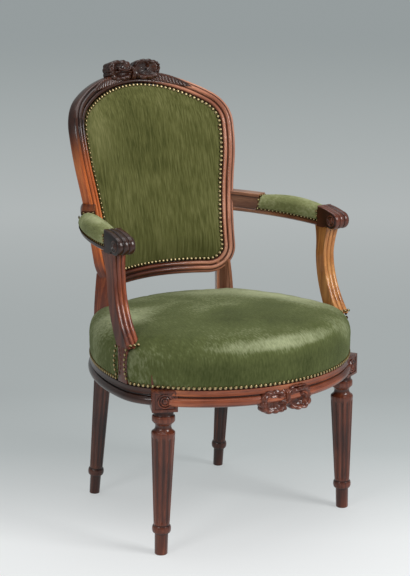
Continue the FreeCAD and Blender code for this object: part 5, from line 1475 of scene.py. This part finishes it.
LONG_GAP, CROSS_GAP, CROSS_MIDDLE = 80, 69, -72
POST_FRONT = 118
long_strips, cross_strips = [], []
for i in range(5):
    over = (-1) ** i
    place = LONG_GAP * (i - 2)
    low, high = within_plan(0, place)
    if abs(place) > 100:
        high = POST_FRONT
    steps = [low + (high - low) * k / 40 for k in range(41)]
    points = [Vector((place, y, 357.9 + 0.7 * math.cos(math.pi * (y - CROSS_MIDDLE) / CROSS_GAP) * over))
              for y in steps]
    long_strips.append((points, [Vector((-1, 0, 0))] * len(points)))
    place = CROSS_MIDDLE + CROSS_GAP * (i - 2)
    low, high = within_plan(1, place)
    steps = [low + (high - low) * k / 48 for k in range(49)]
    points = [Vector((x, place, 358.6 + 0.6 * math.cos(math.pi * x / LONG_GAP) * over)) for x in steps]
    cross_strips.append((points, [Vector((0, 1, 0))] * len(points)))
straps("seat_webbing_long_jute", "seat_webbing_front_to_back", long_strips)
straps("seat_webbing_cross_jute", "seat_webbing_side_to_side", cross_strips)

hessian_rings = [seat_ring(360.3, -12, shrink) for shrink in (0.1, 0.5, 1.0)] + [seat_ring(360.7, -11.5, 1.0)]
hessian_rings += [seat_ring(361.0, -12, shrink) for shrink in (1.0, 0.5, 0.1)]
thin_cloth("seat_hessian_cloth", hessian_rings, (seat_middle(360.3), seat_middle(361.0)), hessian, "seat_hessian",
           corners(350, 370))

upright, level = [], []
for i in (-1, 0, 1):
    x = 90 * i
    inside = [height for side, height in sight_line if abs(abs(side) - abs(x)) < 34]
    high = min(height for height in inside if height > 700) - 5
    low = max(height for height in inside if height < 600) + 5
    steps = [low + (high - low) * k / 24 for k in range(25)]
    upright.append(([face_of_back(x, z, 7.0) for z in steps],
                    [(face_of_back(x + 1, z, 7.0) - face_of_back(x - 1, z, 7.0)).normalized() for z in steps]))
    z = 678 + 103 * i
    half = min(abs(side) for side, height in sight_line if abs(height - z) < 34 and abs(side) > 60) - 5
    level.append(([face_of_back(-half + 2 * half * k / 24, z, 5.8) for k in range(25)],
                  [Vector((0, RAKE, 1)).normalized()] * 25))
straps("back_webbing_upright_jute", "back_webbing_upright", upright)
straps("back_webbing_level_jute", "back_webbing_across", level)

back_cloth_rings = [sight_inner(4.4, 4.6, shrink) for shrink in (0.15, 0.5, 1.0)]
back_cloth_rings += [sight_inner(4.4, 4.1, shrink) for shrink in (1.0, 0.5, 0.15)]
thin_cloth("back_hessian_cloth", back_cloth_rings, [face_of_back(0, BACK_MIDDLE_Z, deep) for deep in (4.6, 4.1)],
           hessian, "back_hessian")


# What the solids already show right: the hidden back rail, the beech corner blocks and their screws,
# and the pegs through the joints.

def finish_node(name, material):
    """Puts a material in all slots of a solid."""
    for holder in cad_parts[name].material_slots:
        holder.material = material


# walnut as on the other rails, its pattern placed by the solid itself
rail_walnut = walnut("walnut_back_rail", BROWN, from_mesh=False)
# beech, planed and left bare: pale, even and dull
beech = walnut("beech_bare", ("#8f6a45", "#b18a61", "#c9a883"), from_mesh=False, gloss=0.55)
# steel, drawn and turned: grey, dulled in fine scratches
steel = blank("steel_screws_dull")
scratches = add(steel, "TexNoise", {"Vector": add(steel, "TexCoord").outputs["Object"], "Scale": 900.0,
                                    "Detail": 3.0}).outputs[0]
steel_colour = add(steel, "ValToRGB", {0: scratches}, [(0.35, "#4e4c49"), (0.6, "#8d8b87")]).outputs[0]
steel_rough = add(steel, "MapRange", {0: scratches, 3: 0.3, 4: 0.6}).outputs[0]
surface(steel, add(steel, "BsdfPrincipled", {"Base Color": steel_colour, "Metallic": 1.0,
                                             "Roughness": steel_rough}))
for name, material in (("back_rail", rail_walnut), ("corner_blocks", beech), ("corner_block_screws", steel),
                       ("mortise_pegs", rail_walnut)):
    finish_node(name, material)
